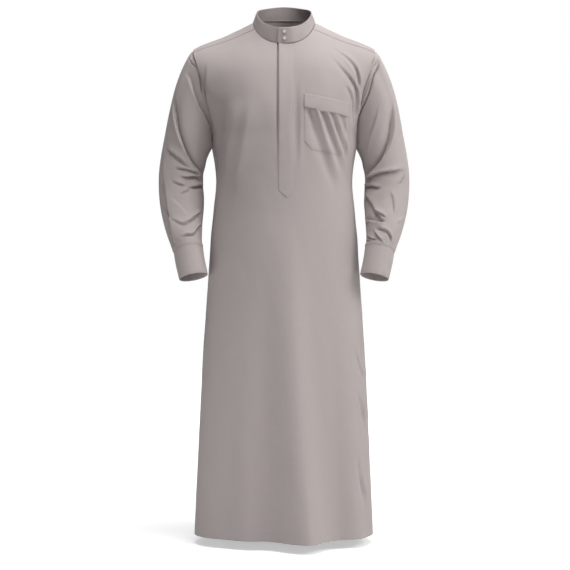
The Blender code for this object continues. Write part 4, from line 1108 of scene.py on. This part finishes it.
def ring_normals(points):
    """Outward directions on a stack of closed rings, from the neighbours of each point."""
    round_it = np.roll(points, -1, axis=1) - np.roll(points, 1, axis=1)
    down_it = np.gradient(points, axis=0)
    normal = np.cross(round_it, down_it)
    return normal / np.linalg.norm(normal, axis=2, keepdims=True)


# %% Folds and creases of the sleeves
# Around in degrees (0 outer edge, 90 front, 180 towards the body, 270 back) and down in mm from the armhole.
# Columns: a0, d0, a1, d1, bow, width, lean, height, open_end.
LEFT_SLEEVE_FOLDS = (
    (16, 20, 30, 330, 6, 12, 0.20, 3.2, 0),
    (330, 150, 230, 262, 30, 14, 0.20, -4.5, 0),
    (196, 322, 290, 330, -8, 10, 0.20, 4.0, 0),
    (200, 366, 300, 384, 8, 11, 0.20, -3.6, 0),
)
RIGHT_SLEEVE_FOLDS = (
    (330, 160, 232, 266, 30, 14, 0.20, -4.5, 0),
    (200, 330, 292, 336, -8, 10, 0.20, 4.0, 0),
    (210, 372, 300, 396, 8, 11, 0.20, -3.6, 0),
)
# Columns: a0, d0, a1, d1, bow, width, lean, height, head, tail. The first row is the underarm's bulge.
LEFT_SLEEVE_CREASES = (
    (180, 16, 178, 140, 0, 26, 0.00, 7.5, 0.28, 0.55),
    (206, 300, 280, 296, 0, 8, 0.20, -3.0, 0.30, 0.40),
    (214, 268, 290, 240, 0, 8, 0.20, 2.8, 0.30, 0.40),
    (230, 410, 320, 430, 0, 6, 0.20, 2.4, 0.30, 0.40),
)
RIGHT_SLEEVE_CREASES = (
    (180, 16, 178, 140, 0, 26, 0.00, 7.5, 0.28, 0.55),
    (206, 300, 286, 292, 0, 8, 0.20, -3.0, 0.30, 0.40),
    (214, 262, 290, 236, 0, 8, 0.20, 2.8, 0.30, 0.40),
    (230, 404, 320, 428, 0, 6, 0.20, 2.4, 0.30, 0.40),
)
# Columns: path of (around, down), crest_width, crest, trough_width, trough, head, tail.
LEFT_SLEEVE_LAPS = (
    # The sharp line beside the armhole, where the turnings end and the cloth rolls over them.
    (
        (
            (142, 11), (120, 20), (102, 24), (90, 26), (80, 26), (72, 24),
            (64, 21), (56, 20), (50, 16), (44, 10), (38, 3),
        ),
        5, 2.2, 2.8, 9.5, 0.15, 0.10,
    ),
    # The long drag from the shoulder into the crook of the elbow.
    (
        (
            (40, 80), (45, 98), (50, 114), (57, 128), (66, 144), (77, 159),
            (90, 174), (104, 185), (121, 196), (140, 209), (158, 226),
        ),
        13, 5.0, 18, 10.0, 0.30, 0.10,
    ),
    # The crook itself.
    (
        ((164, 225), (146, 223), (122, 219), (102, 223), (78, 228), (58, 230), (36, 233)),
        9, 5.2, 9, 8.4, 0.12, 0.35,
    ),
    (((178, 252), (162, 254), (136, 261), (116, 273), (104, 279)), 8, 4.1, 8, 8.4, 0.15, 0.30),
    (((64, 273), (50, 250), (44, 240)), 6, 2.5, 6, 4.6, 0.40, 0.40),
    # The forearm, and the loops of cloth over the cuff.
    (((168, 278), (138, 317), (122, 353), (106, 376), (88, 389)), 12, 3.9, 12, 6.5, 0.15, 0.25),
    (((86, 290), (76, 311), (71, 336), (69, 364)), 14, 1.6, 14, 2.0, 0.30, 0.30),
    (((130, 345), (118, 354), (102, 365), (88, 375)), 6, 2.9, 6, 4.9, 0.30, 0.30),
    (((84, 387), (116, 385), (150, 374), (172, 366)), 7, 4.1, 7, 4.9, 0.25, 0.20),
    (((134, 401), (112, 424), (90, 440), (78, 447)), 5, 3.9, 6, 4.6, 0.25, 0.25),
    (((126, 401), (98, 403), (76, 410), (61, 425), (59, 441)), 6, 3.6, 6, 4.9, 0.25, 0.25),
    (((174, 411), (154, 420), (130, 432), (104, 438)), 5, 3.2, 5, 4.9, 0.20, 0.30),
    (((172, 427), (148, 434), (122, 445)), 5, 2.9, 5, 4.2, 0.25, 0.30),
    (((54, 385), (38, 371), (24, 359)), 6, 2.5, 6, 2.5, 0.40, 0.40),
    (((70, 60), (96, 77), (126, 100), (152, 142)), 14, 2.2, 12, 2.5, 0.35, 0.30),
    # The back of the elbow.
    (((330, 116), (292, 168), (252, 212), (208, 236)), 16, 4.1, 16, 6.8, 0.30, 0.15),
    (((196, 238), (232, 250), (270, 262), (310, 262)), 10, 3.9, 9, 6.1, 0.20, 0.35),
    (((198, 284), (236, 292), (280, 287)), 8, 3.6, 8, 5.3, 0.20, 0.35),
    (((204, 392), (250, 404), (300, 396)), 7, 3.2, 7, 4.9, 0.25, 0.30),
)
RIGHT_SLEEVE_LAPS = (
    # The sharp line beside the top of the armhole.
    (((38, 0), (50, 3), (60, 6), (68, 11), (78, 18), (90, 24)), 3, 2.4, 2.8, 9.5, 0.12, 0.25),
    # Under the armhole's seam, and the long drag into the crook of the elbow.
    (((44, 30), (62, 38), (86, 42), (106, 39), (128, 36), (150, 30)), 7, 2.0, 11, 6.5, 0.25, 0.12),
    (
        ((30, 76), (36, 92), (50, 111), (66, 131), (84, 149), (99, 165), (117, 181), (140, 195), (168, 209)),
        14, 3.7, 10, 9.1, 0.25, 0.08,
    ),
    # The crook itself.
    (((124, 209), (102, 198), (84, 191), (64, 188), (38, 184)), 9, 2.6, 12, 4.6, 0.45, 0.22),
    (((150, 206), (132, 208), (100, 213), (70, 223)), 6, 3.4, 6, 5.1, 0.20, 0.35),
    (((154, 221), (134, 226), (110, 237), (88, 242)), 7, 4.0, 7, 8.1, 0.12, 0.35),
    (((174, 249), (154, 254), (130, 265), (110, 277)), 7, 4.0, 7, 8.3, 0.12, 0.35),
    (((104, 272), (90, 265), (68, 256)), 7, 2.2, 8, 3.5, 0.35, 0.40),
    (((114, 280), (104, 290), (88, 301)), 7, 1.9, 8, 2.7, 0.35, 0.40),
    # The forearm, and the loops of cloth over the cuff.
    (
        ((40, 440), (51, 388), (51, 348), (50, 299), (46, 260), (38, 222), (30, 190)),
        20, 5.1, 14, 7.0, 0.12, 0.25,
    ),
    (((20, 336), (50, 360), (58, 378)), 7, 1.8, 8, 2.6, 0.40, 0.30),
    (((160, 341), (136, 362), (112, 382), (92, 389), (68, 377), (48, 366)), 7, 3.6, 8, 5.2, 0.15, 0.48),
    (((168, 379), (144, 397), (122, 417), (98, 418), (70, 426)), 6, 3.7, 6, 5.5, 0.20, 0.30),
    (((120, 444), (102, 446), (82, 446)), 4, 2.4, 4, 4.4, 0.30, 0.30),
    (((166, 436), (150, 441), (132, 446)), 4, 2.4, 4, 4.4, 0.30, 0.30),
    (((60, 306), (82, 331), (100, 353), (118, 376)), 13, 0.9, 12, 0.9, 0.30, 0.30),
    # The back of the elbow.
    (((328, 124), (288, 176), (250, 216), (206, 240)), 16, 4.0, 16, 6.5, 0.30, 0.15),
    (((196, 244), (230, 256), (272, 266), (312, 258)), 10, 3.7, 9, 5.9, 0.20, 0.35),
    (((200, 290), (242, 296), (284, 284)), 8, 3.4, 8, 5.1, 0.20, 0.35),
    (((206, 386), (250, 396), (304, 404)), 7, 3.1, 7, 4.7, 0.25, 0.30),
)

# %% The armhole as a loop
ARMHOLE_STATIONS = 160


def armhole_loop(deeper=0.0):
    """The armhole seam on the wearer's left as evenly spaced points, from the shoulder round the front to
    the armpit and up the back, and the angle round the arm at which each one sits. Deeper is how much more
    the cloth sinks into the seam under the arm."""
    ups = np.linspace(0, RIDGE, 90)
    out = -side_depth(ups) - deeper * underarm(ups)
    front_half, back_half = (body(HALF_PATTERN, ups, side, out) for side in (FRONT, BACK))
    loop = np.concatenate([front_half[::-1], back_half[1:-1]]) + np.array((SEAM_GAP, 0, 0))
    closed = np.concatenate([loop, loop[:1]])
    length = run_along(closed)
    even = np.linspace(0, length[-1], ARMHOLE_STATIONS, endpoint=False)
    loop = np.stack([np.interp(even, length, closed[:, i]) for i in range(3)], axis=-1)
    low, high = loop.min(axis=0), loop.max(axis=0)
    away = (loop - (low + high) / 2) / ((high - low) / 2)
    return loop, np.unwrap(np.arctan2(-away[:, 1], away[:, 2]))


# %% The sleeves
SLEEVE_LENGTH, SLEEVE_GIRTH = 0.4455, 0.36  # along the arm's middle, and round the flat sleeve
# Rings stand close together beside the armhole, from the seam to past the end of its turnings.
CAP_RINGS = np.array([0, 0.8, 1.6, 2.6, 4, 5.8, 7.2, 8.2, 8.9, *np.arange(9.5, 34.0, 1.1)]) * MM
CAP_PUFF = 1.6 * MM
DRAG = 1.35  # how strongly the bent arm pulls the cloth into its laps
ALLOWANCE = 9.5  # width of the seam's turnings, pressed towards the sleeve, in mm
PUCKER_COUNT = 34  # small gathers above the cuff
SLEEVE_WAVER = (46, 0.35)  # size and depth of the unevenness, in mm


def cap_height(around, below):
    """How the cloth stands below the armhole, in metres: it puffs out over the turnings inside the sleeve and
    dips in a fine groove where they end. On top of the shoulder they lie flat."""
    puff = CAP_PUFF * (1 - bell(below, 3.2)) * np.exp(-below / 34)
    edge = (2.0 * bell(below - ALLOWANCE, 1.4) - 1.2 * bell(below - 4.8, 2.6)) * MM
    return puff - edge * smooth_step((1 - np.cos(np.radians(around)) - 0.02) / 0.3)


def gathers(around, above):
    """How the cloth bulges over the cuff's seam, in metres, at a distance above it in mm."""
    turn = np.radians(around)
    pucker = 0.5 + 0.5 * np.cos(turn * PUCKER_COUNT + 1.4 * np.sin(turn * 5))
    return (1 - bell(above, 2.6)) * np.exp(-above / 13) * (1.3 + 0.8 * pucker) * MM


def make_sleeve(name, node, folds, creases, laps, mirrored):
    """One sleeve as a closed shell, mirrored for the wearer's right arm."""
    loop, angles = armhole_loop()
    sunk = armhole_loop(UNDERARM_DIP)[0] - loop
    lower_rings = stations(CAP_RINGS[-1], SLEEVE_LENGTH, 2.6 * MM, crowd_start=False)[1:]
    shares = np.concatenate([CAP_RINGS, lower_rings]) / SLEEVE_LENGTH
    rings, down = arm_rings(shares * CUFF_START, angles)
    share = down / down[-1]
    blend = (1 - smooth_step(share / SLEEVE_BLEND))[:, None, None]
    plain = rings + (loop - rings[0])[None] * blend
    normal = ring_normals(plain)
    around = np.degrees(angles)[None] + 0 * down[:, None]
    below = down[:, None] / MM + 0 * around
    height = fold_height(around, below, folds, 360) + crease_height(around, below, creases, 360)
    height = height + DRAG * lap_height(around, below, laps, 360)
    # The waver fades out on the arm's outer line, where its ends would not meet.
    uneven = waver(around * 1.1, below, *SLEEVE_WAVER, seed=41 + mirrored)
    height = height + uneven * np.sin(np.radians(around / 2)) ** 2
    held = fade_ends(share, 0.05, 0.04)[:, None]
    height = height * held + cap_height(around, below) + gathers(around, below[-1] - below)
    outer = plain + normal * height[..., None] + sunk * bell(below, UNDERARM_ROLL / MM)[..., None]
    inner = outer - ring_normals(outer) * CLOTH
    return close_tube(name, node, outer, inner, SLEEVE_GIRTH, down, mirrored)


sleeve_left = make_sleeve(
    "left_sleeve", "sleeve_left", LEFT_SLEEVE_FOLDS, LEFT_SLEEVE_CREASES, LEFT_SLEEVE_LAPS, False
)
sleeve_right = make_sleeve(
    "right_sleeve", "sleeve_right", RIGHT_SLEEVE_FOLDS, RIGHT_SLEEVE_CREASES, RIGHT_SLEEVE_LAPS, True
)

# %% [markdown]
# ## Cuffs
#
# The cuffs are interlined like the collar, so they stay nearly smooth. Their upper edge is sewn over the end
# of the sleeve and stitched, and the lower edge is a rounded fold with its own row of stitches.

# %% The cuffs
CUFF_HEIGHT, CUFF_GIRTH = 0.074, 0.25
CUFF_STITCH = 3.0 * MM
CUFF_STATIONS = 112


def cuff_surface(shares, angles):
    """Outer points of the left cuff at shares down it."""
    return arm_rings(CUFF_START + shares * CUFF_RINGS, angles)[0]


def cuff_softness(share, angles):
    """How far the cuff gives outward halfway down it, in three soft places round the wrist."""
    return 0.55 * MM * np.sin(3 * angles + 0.8) * np.sin(math.pi * share) ** 2


def make_cuff(name, node, mirrored):
    """One cuff as a closed shell."""
    angles = np.linspace(0, 2 * math.pi, CUFF_STATIONS, endpoint=False)
    shares = stations(0.0, CUFF_HEIGHT, 2.8 * MM) / CUFF_HEIGHT
    plain = cuff_surface(shares, angles)
    normal = ring_normals(plain)
    away = np.minimum(shares, 1 - shares)[:, None] * CUFF_HEIGHT
    roll = seam_dip(away, 0.8 * MM, 0.9 * MM)
    out = cuff_softness(shares[:, None], angles) - stitch_groove(away - CUFF_STITCH, GROOVE, 1.2 * MM)
    outer = plain + normal * (out - roll)[..., None]
    inner = plain + normal * (out - STAND + roll)[..., None]
    return close_tube(name, node, outer, inner, CUFF_GIRTH, shares * CUFF_HEIGHT, mirrored)


cuff_left = make_cuff("left_cuff", "cuff_left", False)
cuff_right = make_cuff("right_cuff", "cuff_right", True)

# %% [markdown]
# ## Snaps
#
# Each snap is a prong ring of plated brass, pressed round a cap of pearl-like resin. Both are turned shapes.
# A Spin or a Screw modifier could turn their profiles. The grids that make the sleeves do it here, and they
# number the points the same way in every run. The snaps' places come from the collar's own surface.

# %% Plated brass and pearl-like resin


def make_ring_metal():
    """Nickel-plated brass, tumbled satin: a soft grey metal with blurred reflections."""
    material, tree, shader = new_material("nickel_plated_brass")
    place = add_node(tree, "ShaderNodeTexCoord").outputs["Object"]
    noise = add_node(tree, "ShaderNodeTexNoise", Vector=place, Scale=1 / (0.5 * MM), Detail=2.0)
    rough = add_node(
        tree, "ShaderNodeMapRange", Value=noise.outputs["Fac"], From_Min=0.3, From_Max=0.7, To_Min=0.26,
        To_Max=0.42,
    )
    set_inputs(tree, shader, Base_Color=srgb("b5aaa2"), Metallic=1.0, Roughness=rough.outputs["Result"])
    return material


def make_pearl():
    """Polyester resin with pearl pigment: milky, glossy, with slow clouds under a clear skin."""
    material, tree, shader = new_material("pearl_polyester_resin")
    place = add_node(tree, "ShaderNodeTexCoord").outputs["Object"]
    clouds = add_node(
        tree, "ShaderNodeTexNoise", Vector=place, Scale=1 / (3 * MM), Detail=2.0, Distortion=1.2
    )
    share = add_node(tree, "ShaderNodeMapRange", Value=clouds.outputs["Fac"], From_Min=0.3, From_Max=0.7)
    colour = add_node(
        tree, "ShaderNodeMix", {"data_type": "RGBA"}, _0=share.outputs["Result"], _6=srgb("f6f1ee"),
        _7=srgb("e4dad6"),
    )
    set_inputs(
        tree, shader, Base_Color=colour.outputs[2], Roughness=0.22, IOR=1.52, Coat_Weight=0.6,
        Coat_Roughness=0.08,
    )
    return material


RING_METAL, PEARL = make_ring_metal(), make_pearl()

# %% The snaps
# The ring's profile in mm. Columns: distance from its axis, height.
RING_PROFILE = (
    (0, 0.7), (4.0, 0.7), (4.3, 0.9), (4.675, 1.75), (5.05, 2.1), (5.425, 1.8), (5.7, 1.1), (5.8, 0.5),
    (5.8, 0), (0, 0),
)
CAP_RADIUS, CAP_RIM, CAP_FOOT = 4.15, 0.95, 0.75  # in mm. The top of its dome is twice as high as its rim.
SNAP_X = 1.0 * MM
UPPER_SNAP, LOWER_SNAP = 0.73, 0.32  # shares of the collar's height
SNAP_SEGMENTS = 40


def turned_mesh(name, profile, material):
    """A closed shape from a profile in mm, turned about Z: rings of quads, and a fan at each end. The profile
    starts on the axis at the top and ends on it at the foot."""
    turns = np.linspace(0, 2 * math.pi, SNAP_SEGMENTS, endpoint=False)
    rings = [(r * math.cos(turn), r * math.sin(turn), z) for r, z in profile[1:-1] for turn in turns]
    points = np.array([*rings, (0, 0, profile[0][1]), (0, 0, profile[-1][1])]) * MM
    top, foot, last_ring = len(rings), len(rings) + 1, len(rings) - SNAP_SEGMENTS
    pairs = [(i, (i + 1) % SNAP_SEGMENTS) for i in range(SNAP_SEGMENTS)]
    fans = [(top, i, j) for i, j in pairs] + [(foot, last_ring + j, last_ring + i) for i, j in pairs]
    sides = grid_quads(len(profile) - 2, SNAP_SEGMENTS, closed=True)[:, :, ::-1].reshape(-1, 4)
    mesh = new_mesh(name, points.tolist(), [], fans + sides.tolist())
    mesh.materials.append(material)
    mesh.shade_smooth()
    mesh.set_sharp_from_angle(angle=math.radians(60))
    return mesh


def place_snap(label, node, share):
    """A ring and its cap, seated on the collar's lapped end, with their places in their meshes."""
    turn = turn_at(SNAP_X, share)
    seat = Vector(collar_point(turn, share, LAP))
    outward = (Vector(collar_point(turn, share, 1.0)) - Vector(collar_point(turn, share, 0.0))).normalized()
    place = Matrix.Translation(seat) @ outward.to_track_quat("Z", "Y").to_matrix().to_4x4()
    slopes = np.linspace(0, math.pi / 2, 7)
    dome = [(CAP_RADIUS * math.sin(slope), CAP_RIM * (1 + math.cos(slope))) for slope in slopes]
    cap = [*dome, (CAP_RADIUS, CAP_FOOT), (0, CAP_FOOT)]
    made = []
    for kind, profile, material in (("ring", RING_PROFILE, RING_METAL), ("cap", cap, PEARL)):
        mesh = turned_mesh(f"{label}_{kind}", profile, material)
        mesh.transform(place)
        made.append(dress(add_object(mesh.name, mesh), node))
    return made


snaps = place_snap("upper_snap", "snap_upper", UPPER_SNAP)
snaps += place_snap("lower_snap", "snap_lower", LOWER_SNAP)
print(f"Snaps: {len(snaps)} pieces")

# %% [markdown]
# ## Sewing thread
#
# Top stitching is thousands of small beads of thread along a few lines, so Geometry Nodes make it: each line
# becomes a curve, is cut at the stitch length, and carries one small bead per stitch, turned along the line.
# The lines come from the same surfaces as the panels, so the beads sit in the grooves.

# %% The stitch tree


def make_thread():
    """Spun polyester sewing thread, dyed to match: a touch lighter and glossier than the cloth."""
    material, tree, shader = new_material("spun_polyester_thread")
    place = add_node(tree, "ShaderNodeTexCoord").outputs["Object"]
    noise = add_node(tree, "ShaderNodeTexNoise", Vector=place, Scale=1 / (4 * MM), Detail=1.0)
    colour = add_node(
        tree, "ShaderNodeMix", {"data_type": "RGBA"}, _0=noise.outputs["Fac"], _6=srgb("9c9290"),
        _7=srgb("b3aaa8"),
    )
    set_inputs(tree, shader, Base_Color=colour.outputs[2], Roughness=0.55)
    return material


def make_stitch_tree(material):
    """Turns the edges of a mesh into rows of stitches."""
    tree = bpy.data.node_groups.new("rows_of_stitches", "GeometryNodeTree")
    tree.interface.new_socket("Lines", in_out="INPUT", socket_type="NodeSocketGeometry")
    for label, value in (("Stitch", 2.4 * MM), ("Gap", 0.7 * MM), ("Thread", 0.34 * MM)):
        socket = tree.interface.new_socket(label, in_out="INPUT", socket_type="NodeSocketFloat")
        socket.default_value = value
    tree.interface.new_socket("Stitches", in_out="OUTPUT", socket_type="NodeSocketGeometry")
    given = add_node(tree, "NodeGroupInput").outputs
    pitch = add_node(tree, "ShaderNodeMath", {"operation": "ADD"}, _0=given["Stitch"], _1=given["Gap"])
    curve = add_node(tree, "GeometryNodeMeshToCurve", Mesh=given["Lines"])
    even = add_node(
        tree, "GeometryNodeResampleCurve", {"mode": "LENGTH"}, Curve=curve.outputs["Curve"],
        Length=pitch.outputs[0],
    )
    tangent = add_node(tree, "GeometryNodeInputTangent")
    facing = add_node(
        tree, "FunctionNodeAlignRotationToVector", {"axis": "X"}, Vector=tangent.outputs["Tangent"]
    )
    bead = add_node(tree, "GeometryNodeMeshUVSphere", Segments=6, Rings=4, Radius=0.5)
    size = add_node(
        tree, "ShaderNodeCombineXYZ", X=given["Stitch"], Y=given["Thread"], Z=given["Thread"]
    )
    sewn = add_node(
        tree, "GeometryNodeInstanceOnPoints", Points=even.outputs["Curve"], Instance=bead.outputs["Mesh"],
        Rotation=facing.outputs["Rotation"], Scale=size.outputs["Vector"],
    )
    solid = add_node(tree, "GeometryNodeRealizeInstances", Geometry=sewn.outputs["Instances"])
    dyed = add_node(tree, "GeometryNodeSetMaterial", Geometry=solid.outputs["Geometry"], Material=material)
    end = add_node(tree, "NodeGroupOutput")
    tree.links.new(dyed.outputs["Geometry"], end.inputs["Stitches"])
    return tree


# %% Where the stitches run
THREAD, THREAD_OUT = 0.36 * MM, 0.12 * MM  # its thickness, and how far it stands out of its groove
stitch_lines = []


def seen_row(points, lift):
    """A stitch line over the front through seen places (x, z), lifted off the robe."""
    points = np.asarray(points, float)
    run = run_along(points)
    even = np.linspace(0, run[-1], max(2, round(run[-1] / (4 * MM))))
    across, up = pattern_of(*(np.interp(even, run, points[:, i]) for i in range(2)))
    stitch_lines.append(body(across, up, FRONT, lift + THREAD_OUT))


def inset(corners, by):
    """Corners of an open outline moved in by a distance, along the bisector at each."""
    corners = np.asarray(corners, float)
    run = np.diff(corners, axis=0)
    left = np.stack([-run[:, 1], run[:, 0]], axis=-1) / np.linalg.norm(run, axis=1)[:, None]
    first, last = left[:1], left[-1:]
    before, after = np.concatenate([first, left]), np.concatenate([left, last])
    between = before + after
    return corners + between * (by * 2 / (between**2).sum(axis=1))[:, None]


placket_edge = [
    (PLACKET_LEFT, PLACKET_SHOULDER_Z), (PLACKET_TIP_X, PLACKET_TIP_Z), (PLACKET_RIGHT, PLACKET_SHOULDER_Z),
    (PLACKET_RIGHT, float(top[-1]) - 1 * MM),
]
row = inset(placket_edge, PLACKET_STITCH)
row[0, 1] += 2 * MM
seen_row(row, 0.9 * MM)
seen_row([(PLACKET_LEFT + 2 * MM, TACK_Z), (PLACKET_RIGHT - PLACKET_STITCH, TACK_Z)], 1.4 * MM)
seen_row(inset(pocket[:5], POCKET_STITCH), 1.2 * MM)
seen_row(inset(pocket[:5], POCKET_STITCH + POCKET_STITCH_GAP), POCKET_LIFT)

for sign in (-1, 1):
    run = np.linspace(HALF_NECK * 0.93, HALF_PATTERN - 3 * MM, 60) * sign
    stitch_lines.append(on_yoke(run, yoke_front_up(run) - RIDGE + YOKE_STITCH, THREAD_OUT - YOKE_GROOVE))
run = np.linspace(-(HALF_PATTERN - 3 * MM), HALF_PATTERN - 3 * MM, 110)
stitch_lines.append(on_yoke(run, RIDGE - yoke_back_up(run) - YOKE_STITCH, THREAD_OUT - YOKE_GROOVE))
for edge in (COLLAR_STITCH / COLLAR_HEIGHT, 1 - COLLAR_STITCH / COLLAR_HEIGHT):
    run = np.linspace(collar_start + 0.03, collar_end - 0.03, 180)
    stitch_lines.append(collar_point(run, edge, collar_lap(run) - GROOVE + THREAD_OUT))
for flip in (1, MIRROR):
    angles = np.linspace(0, 2 * math.pi, 90)
    for edge in (CUFF_STITCH / CUFF_HEIGHT, 1 - CUFF_STITCH / CUFF_HEIGHT):
        rings = cuff_surface(edge + np.array((-0.02, 0, 0.02)), angles[:-1])
        out = cuff_softness(edge, angles[:-1]) - GROOVE + THREAD_OUT
        row = rings[1] + ring_normals(rings)[1] * out[:, None]
        stitch_lines.append(np.concatenate([row, row[:1]]) * flip)
print(f"Stitch lines: {len(stitch_lines)}")

# %% Sewing them


def sew(name, lines, tree, thread):
    """A plain mesh of stitches along lines of points."""
    points = np.concatenate(lines)
    starts = np.cumsum([0] + [len(line) for line in lines])
    edges = [(i, i + 1) for a, b in zip(starts, starts[1:]) for i in range(a, b - 1)]
    guide = add_object(name + "_lines", new_mesh(name + "_lines", points.tolist(), edges, []))
    modifier = guide.modifiers.new("stitches", "NODES")
    modifier.node_group = tree
    sockets = {item.name: item.identifier for item in tree.interface.items_tree if item.in_out == "INPUT"}
    modifier[sockets["Thread"]] = thread
    graph = bpy.context.evaluated_depsgraph_get()
    made = bpy.data.meshes.new_from_object(guide.evaluated_get(graph))
    bpy.data.objects.remove(guide)
    made.shade_smooth()
    print(f"{name}: {len(made.polygons)} faces")
    return add_object(name, made)


top_stitching = sew("top_stitching", stitch_lines, make_stitch_tree(make_thread()), THREAD)
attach(top_stitching, "root")

# %% [markdown]
# ## What each piece was cut from
#
# Every piece of cloth is declared with the size of its flat cut, so that its area can be checked against the
# shell's. The areas below are what shows, without turnings: where a piece isn't a rectangle, its own area
# goes with it.

# %% Flat cuts


def shell_area(piece):
    """Half the area of a closed thin shell, which is close to the area of its cloth."""
    return sum(face.area for face in piece.data.polygons) / 2


# Columns: piece, width, length, area (m and m2), how it is held, what it hangs from or lies on.
FLAT_CUTS = (
    (front, 0.690, 1.330, 0.745, "hung", ["yoke"]),
    (back, 0.690, 1.250, 0.700, "hung", ["yoke"]),
    (yoke, 0.550, 0.240, 0.093, "laid", ["front", "back"]),
    (collar, 0.500, 0.048, 0.020, "stretched", ["yoke"]),
    (placket, 0.0395, 0.430, None, "laid", ["front"]),
    (pocket_piece, 0.126, 0.150, 0.0182, "laid", ["front"]),
    (band, 0.126, 0.038, None, "laid", ["pocket"]),
    (sleeve_left, 0.420, 0.580, 0.170, "hung", ["yoke"]),
    (sleeve_right, 0.420, 0.580, 0.170, "hung", ["yoke"]),
    (cuff_left, 0.255, 0.074, None, "stretched", ["sleeve_left"]),
    (cuff_right, 0.255, 0.074, None, "stretched", ["sleeve_right"]),
)
for piece, width, length, area, held, under in FLAT_CUTS:
    flat = area or width * length
    print(f"{piece.name}: {shell_area(piece):.4f} m2 against {flat:.4f} m2 flat")

# %% [markdown]
# ## Floor, light and camera
#
# The robe is lit like a shop picture. A key and a broader side light stand to the right, two lights hang high
# in front and overhead, and a weak low fill keeps the left of the skirt from going black. The pale floor has
# a painted glow that only the camera sees, which keeps it almost white round the hem's soft shadow.

# %% The floor
FLOOR_Z = HEM_Z - 0.024
FLOOR_REACH = 30.0
# The floor's painted glow, seen only by the camera: weak near the robe and full white far off.
FLOOR_GLOW_FROM, FLOOR_GLOW = (1.2, 3.5), (0.42, 1.0)  # near and far distances, and the glow at each


def make_floor():
    """A wide plane of matt white board with a painted glow, as if lit from below, that only the camera sees:
    weaker near the robe, so that the hem's shadow shows, and full white far off.
    """
    material, tree, shader = new_material("white_board_painted_glow")
    seen = add_node(tree, "ShaderNodeLightPath").outputs["Is Camera Ray"]
    place = add_node(tree, "ShaderNodeTexCoord").outputs["Object"]
    away = add_node(tree, "ShaderNodeVectorMath", {"operation": "LENGTH"}, _0=place).outputs["Value"]
    glow = add_node(
        tree, "ShaderNodeMapRange", Value=away, From_Min=FLOOR_GLOW_FROM[0], From_Max=FLOOR_GLOW_FROM[1],
        To_Min=FLOOR_GLOW[0], To_Max=FLOOR_GLOW[1],
    )
    glow = add_node(tree, "ShaderNodeMath", {"operation": "MULTIPLY"}, _0=seen, _1=glow.outputs["Result"])
    set_inputs(
        tree, shader, Base_Color=srgb("f4f4f4"), Roughness=0.9, Emission_Color=srgb("ffffff"),
        Emission_Strength=glow.outputs[0],
    )
    corners = [(x * FLOOR_REACH, y * FLOOR_REACH, FLOOR_Z) for x, y in ((-1, -1), (1, -1), (1, 1), (-1, 1))]
    mesh = new_mesh("floor", corners, [], [(0, 1, 2, 3)])
    mesh.materials.append(material)
    return add_object("floor", mesh)


floor = make_floor()
print(f"Floor: {-1e3 * (FLOOR_Z - HEM_Z):.0f} mm under the hem")

# %% The lights


def add_light(name, aim_z, aside, above, distance, side, power, spread):
    """A square soft white light that faces a point on the robe's middle line."""
    light = bpy.data.lights.new(name, "AREA")
    light.size, light.energy, light.spread = side, power, math.radians(spread)
    aside, above = math.radians(aside), math.radians(above)
    towards = Vector((math.sin(aside) * math.cos(above), -math.cos(aside) * math.cos(above), math.sin(above)))
    lamp = add_object(name, light)
    lamp.location = Vector((0, 0, aim_z)) + towards * distance
    lamp.rotation_euler = (-towards).to_track_quat("-Z", "Y").to_euler()


# Columns: name, aim height, degrees round to the viewer's right, degrees up, distance, side (m), power (W),
# spread. The fill has a honeycomb grid, which keeps its light on the skirt and off the collar.
LIGHTS = (
    ("key", -0.6, 62, 32, 4.0, 1.6, 62, 180),
    ("side", -0.6, 82, 20, 4.0, 2.2, 34, 180),
    ("front", -0.6, 14, 68, 4.0, 2.0, 72, 180),
    ("fill", -1.1, -50, -4, 1.7, 0.9, 0.9, 62),
    ("top", -0.6, 0, 84, 4.0, 2.6, 80, 180),
)
for row in LIGHTS:
    add_light(*row)
print("Lights:", ", ".join(row[0] for row in LIGHTS))

# The room's own light is grey, and only the camera sees it as white.
ROOM_LIGHT = 0.14
world = bpy.data.worlds.new("studio")
bpy.context.scene.world = world
world.use_nodes = True
room = world.node_tree
seen = add_node(room, "ShaderNodeLightPath").outputs["Is Camera Ray"]
strength = add_node(room, "ShaderNodeMapRange", Value=seen, To_Min=ROOM_LIGHT, To_Max=1.0)
set_inputs(room, room.nodes["Background"], Color=srgb("ffffff"), Strength=strength.outputs["Result"])
bpy.context.scene.view_settings.view_transform = "Standard"

# %% The camera
CAMERA_X, CAMERA_DISTANCE, CAMERA_Z = 2.7 * MM, 4.0, -0.702
FRAME_WIDTH = 1539 * MM  # what the frame spans at the depth of the shoulders
SENSOR = 36.0

lens = bpy.data.cameras.new("camera")
lens.sensor_width = SENSOR
lens.lens = SENSOR * CAMERA_DISTANCE / FRAME_WIDTH
camera = add_object("camera", lens)
camera.location = (CAMERA_X, -CAMERA_DISTANCE, CAMERA_Z)
camera.rotation_euler = (math.pi / 2, 0, 0)
bpy.context.scene.camera = camera
print(f"Camera: {lens.lens:.0f} mm lens, {CAMERA_DISTANCE:.0f} m in front")
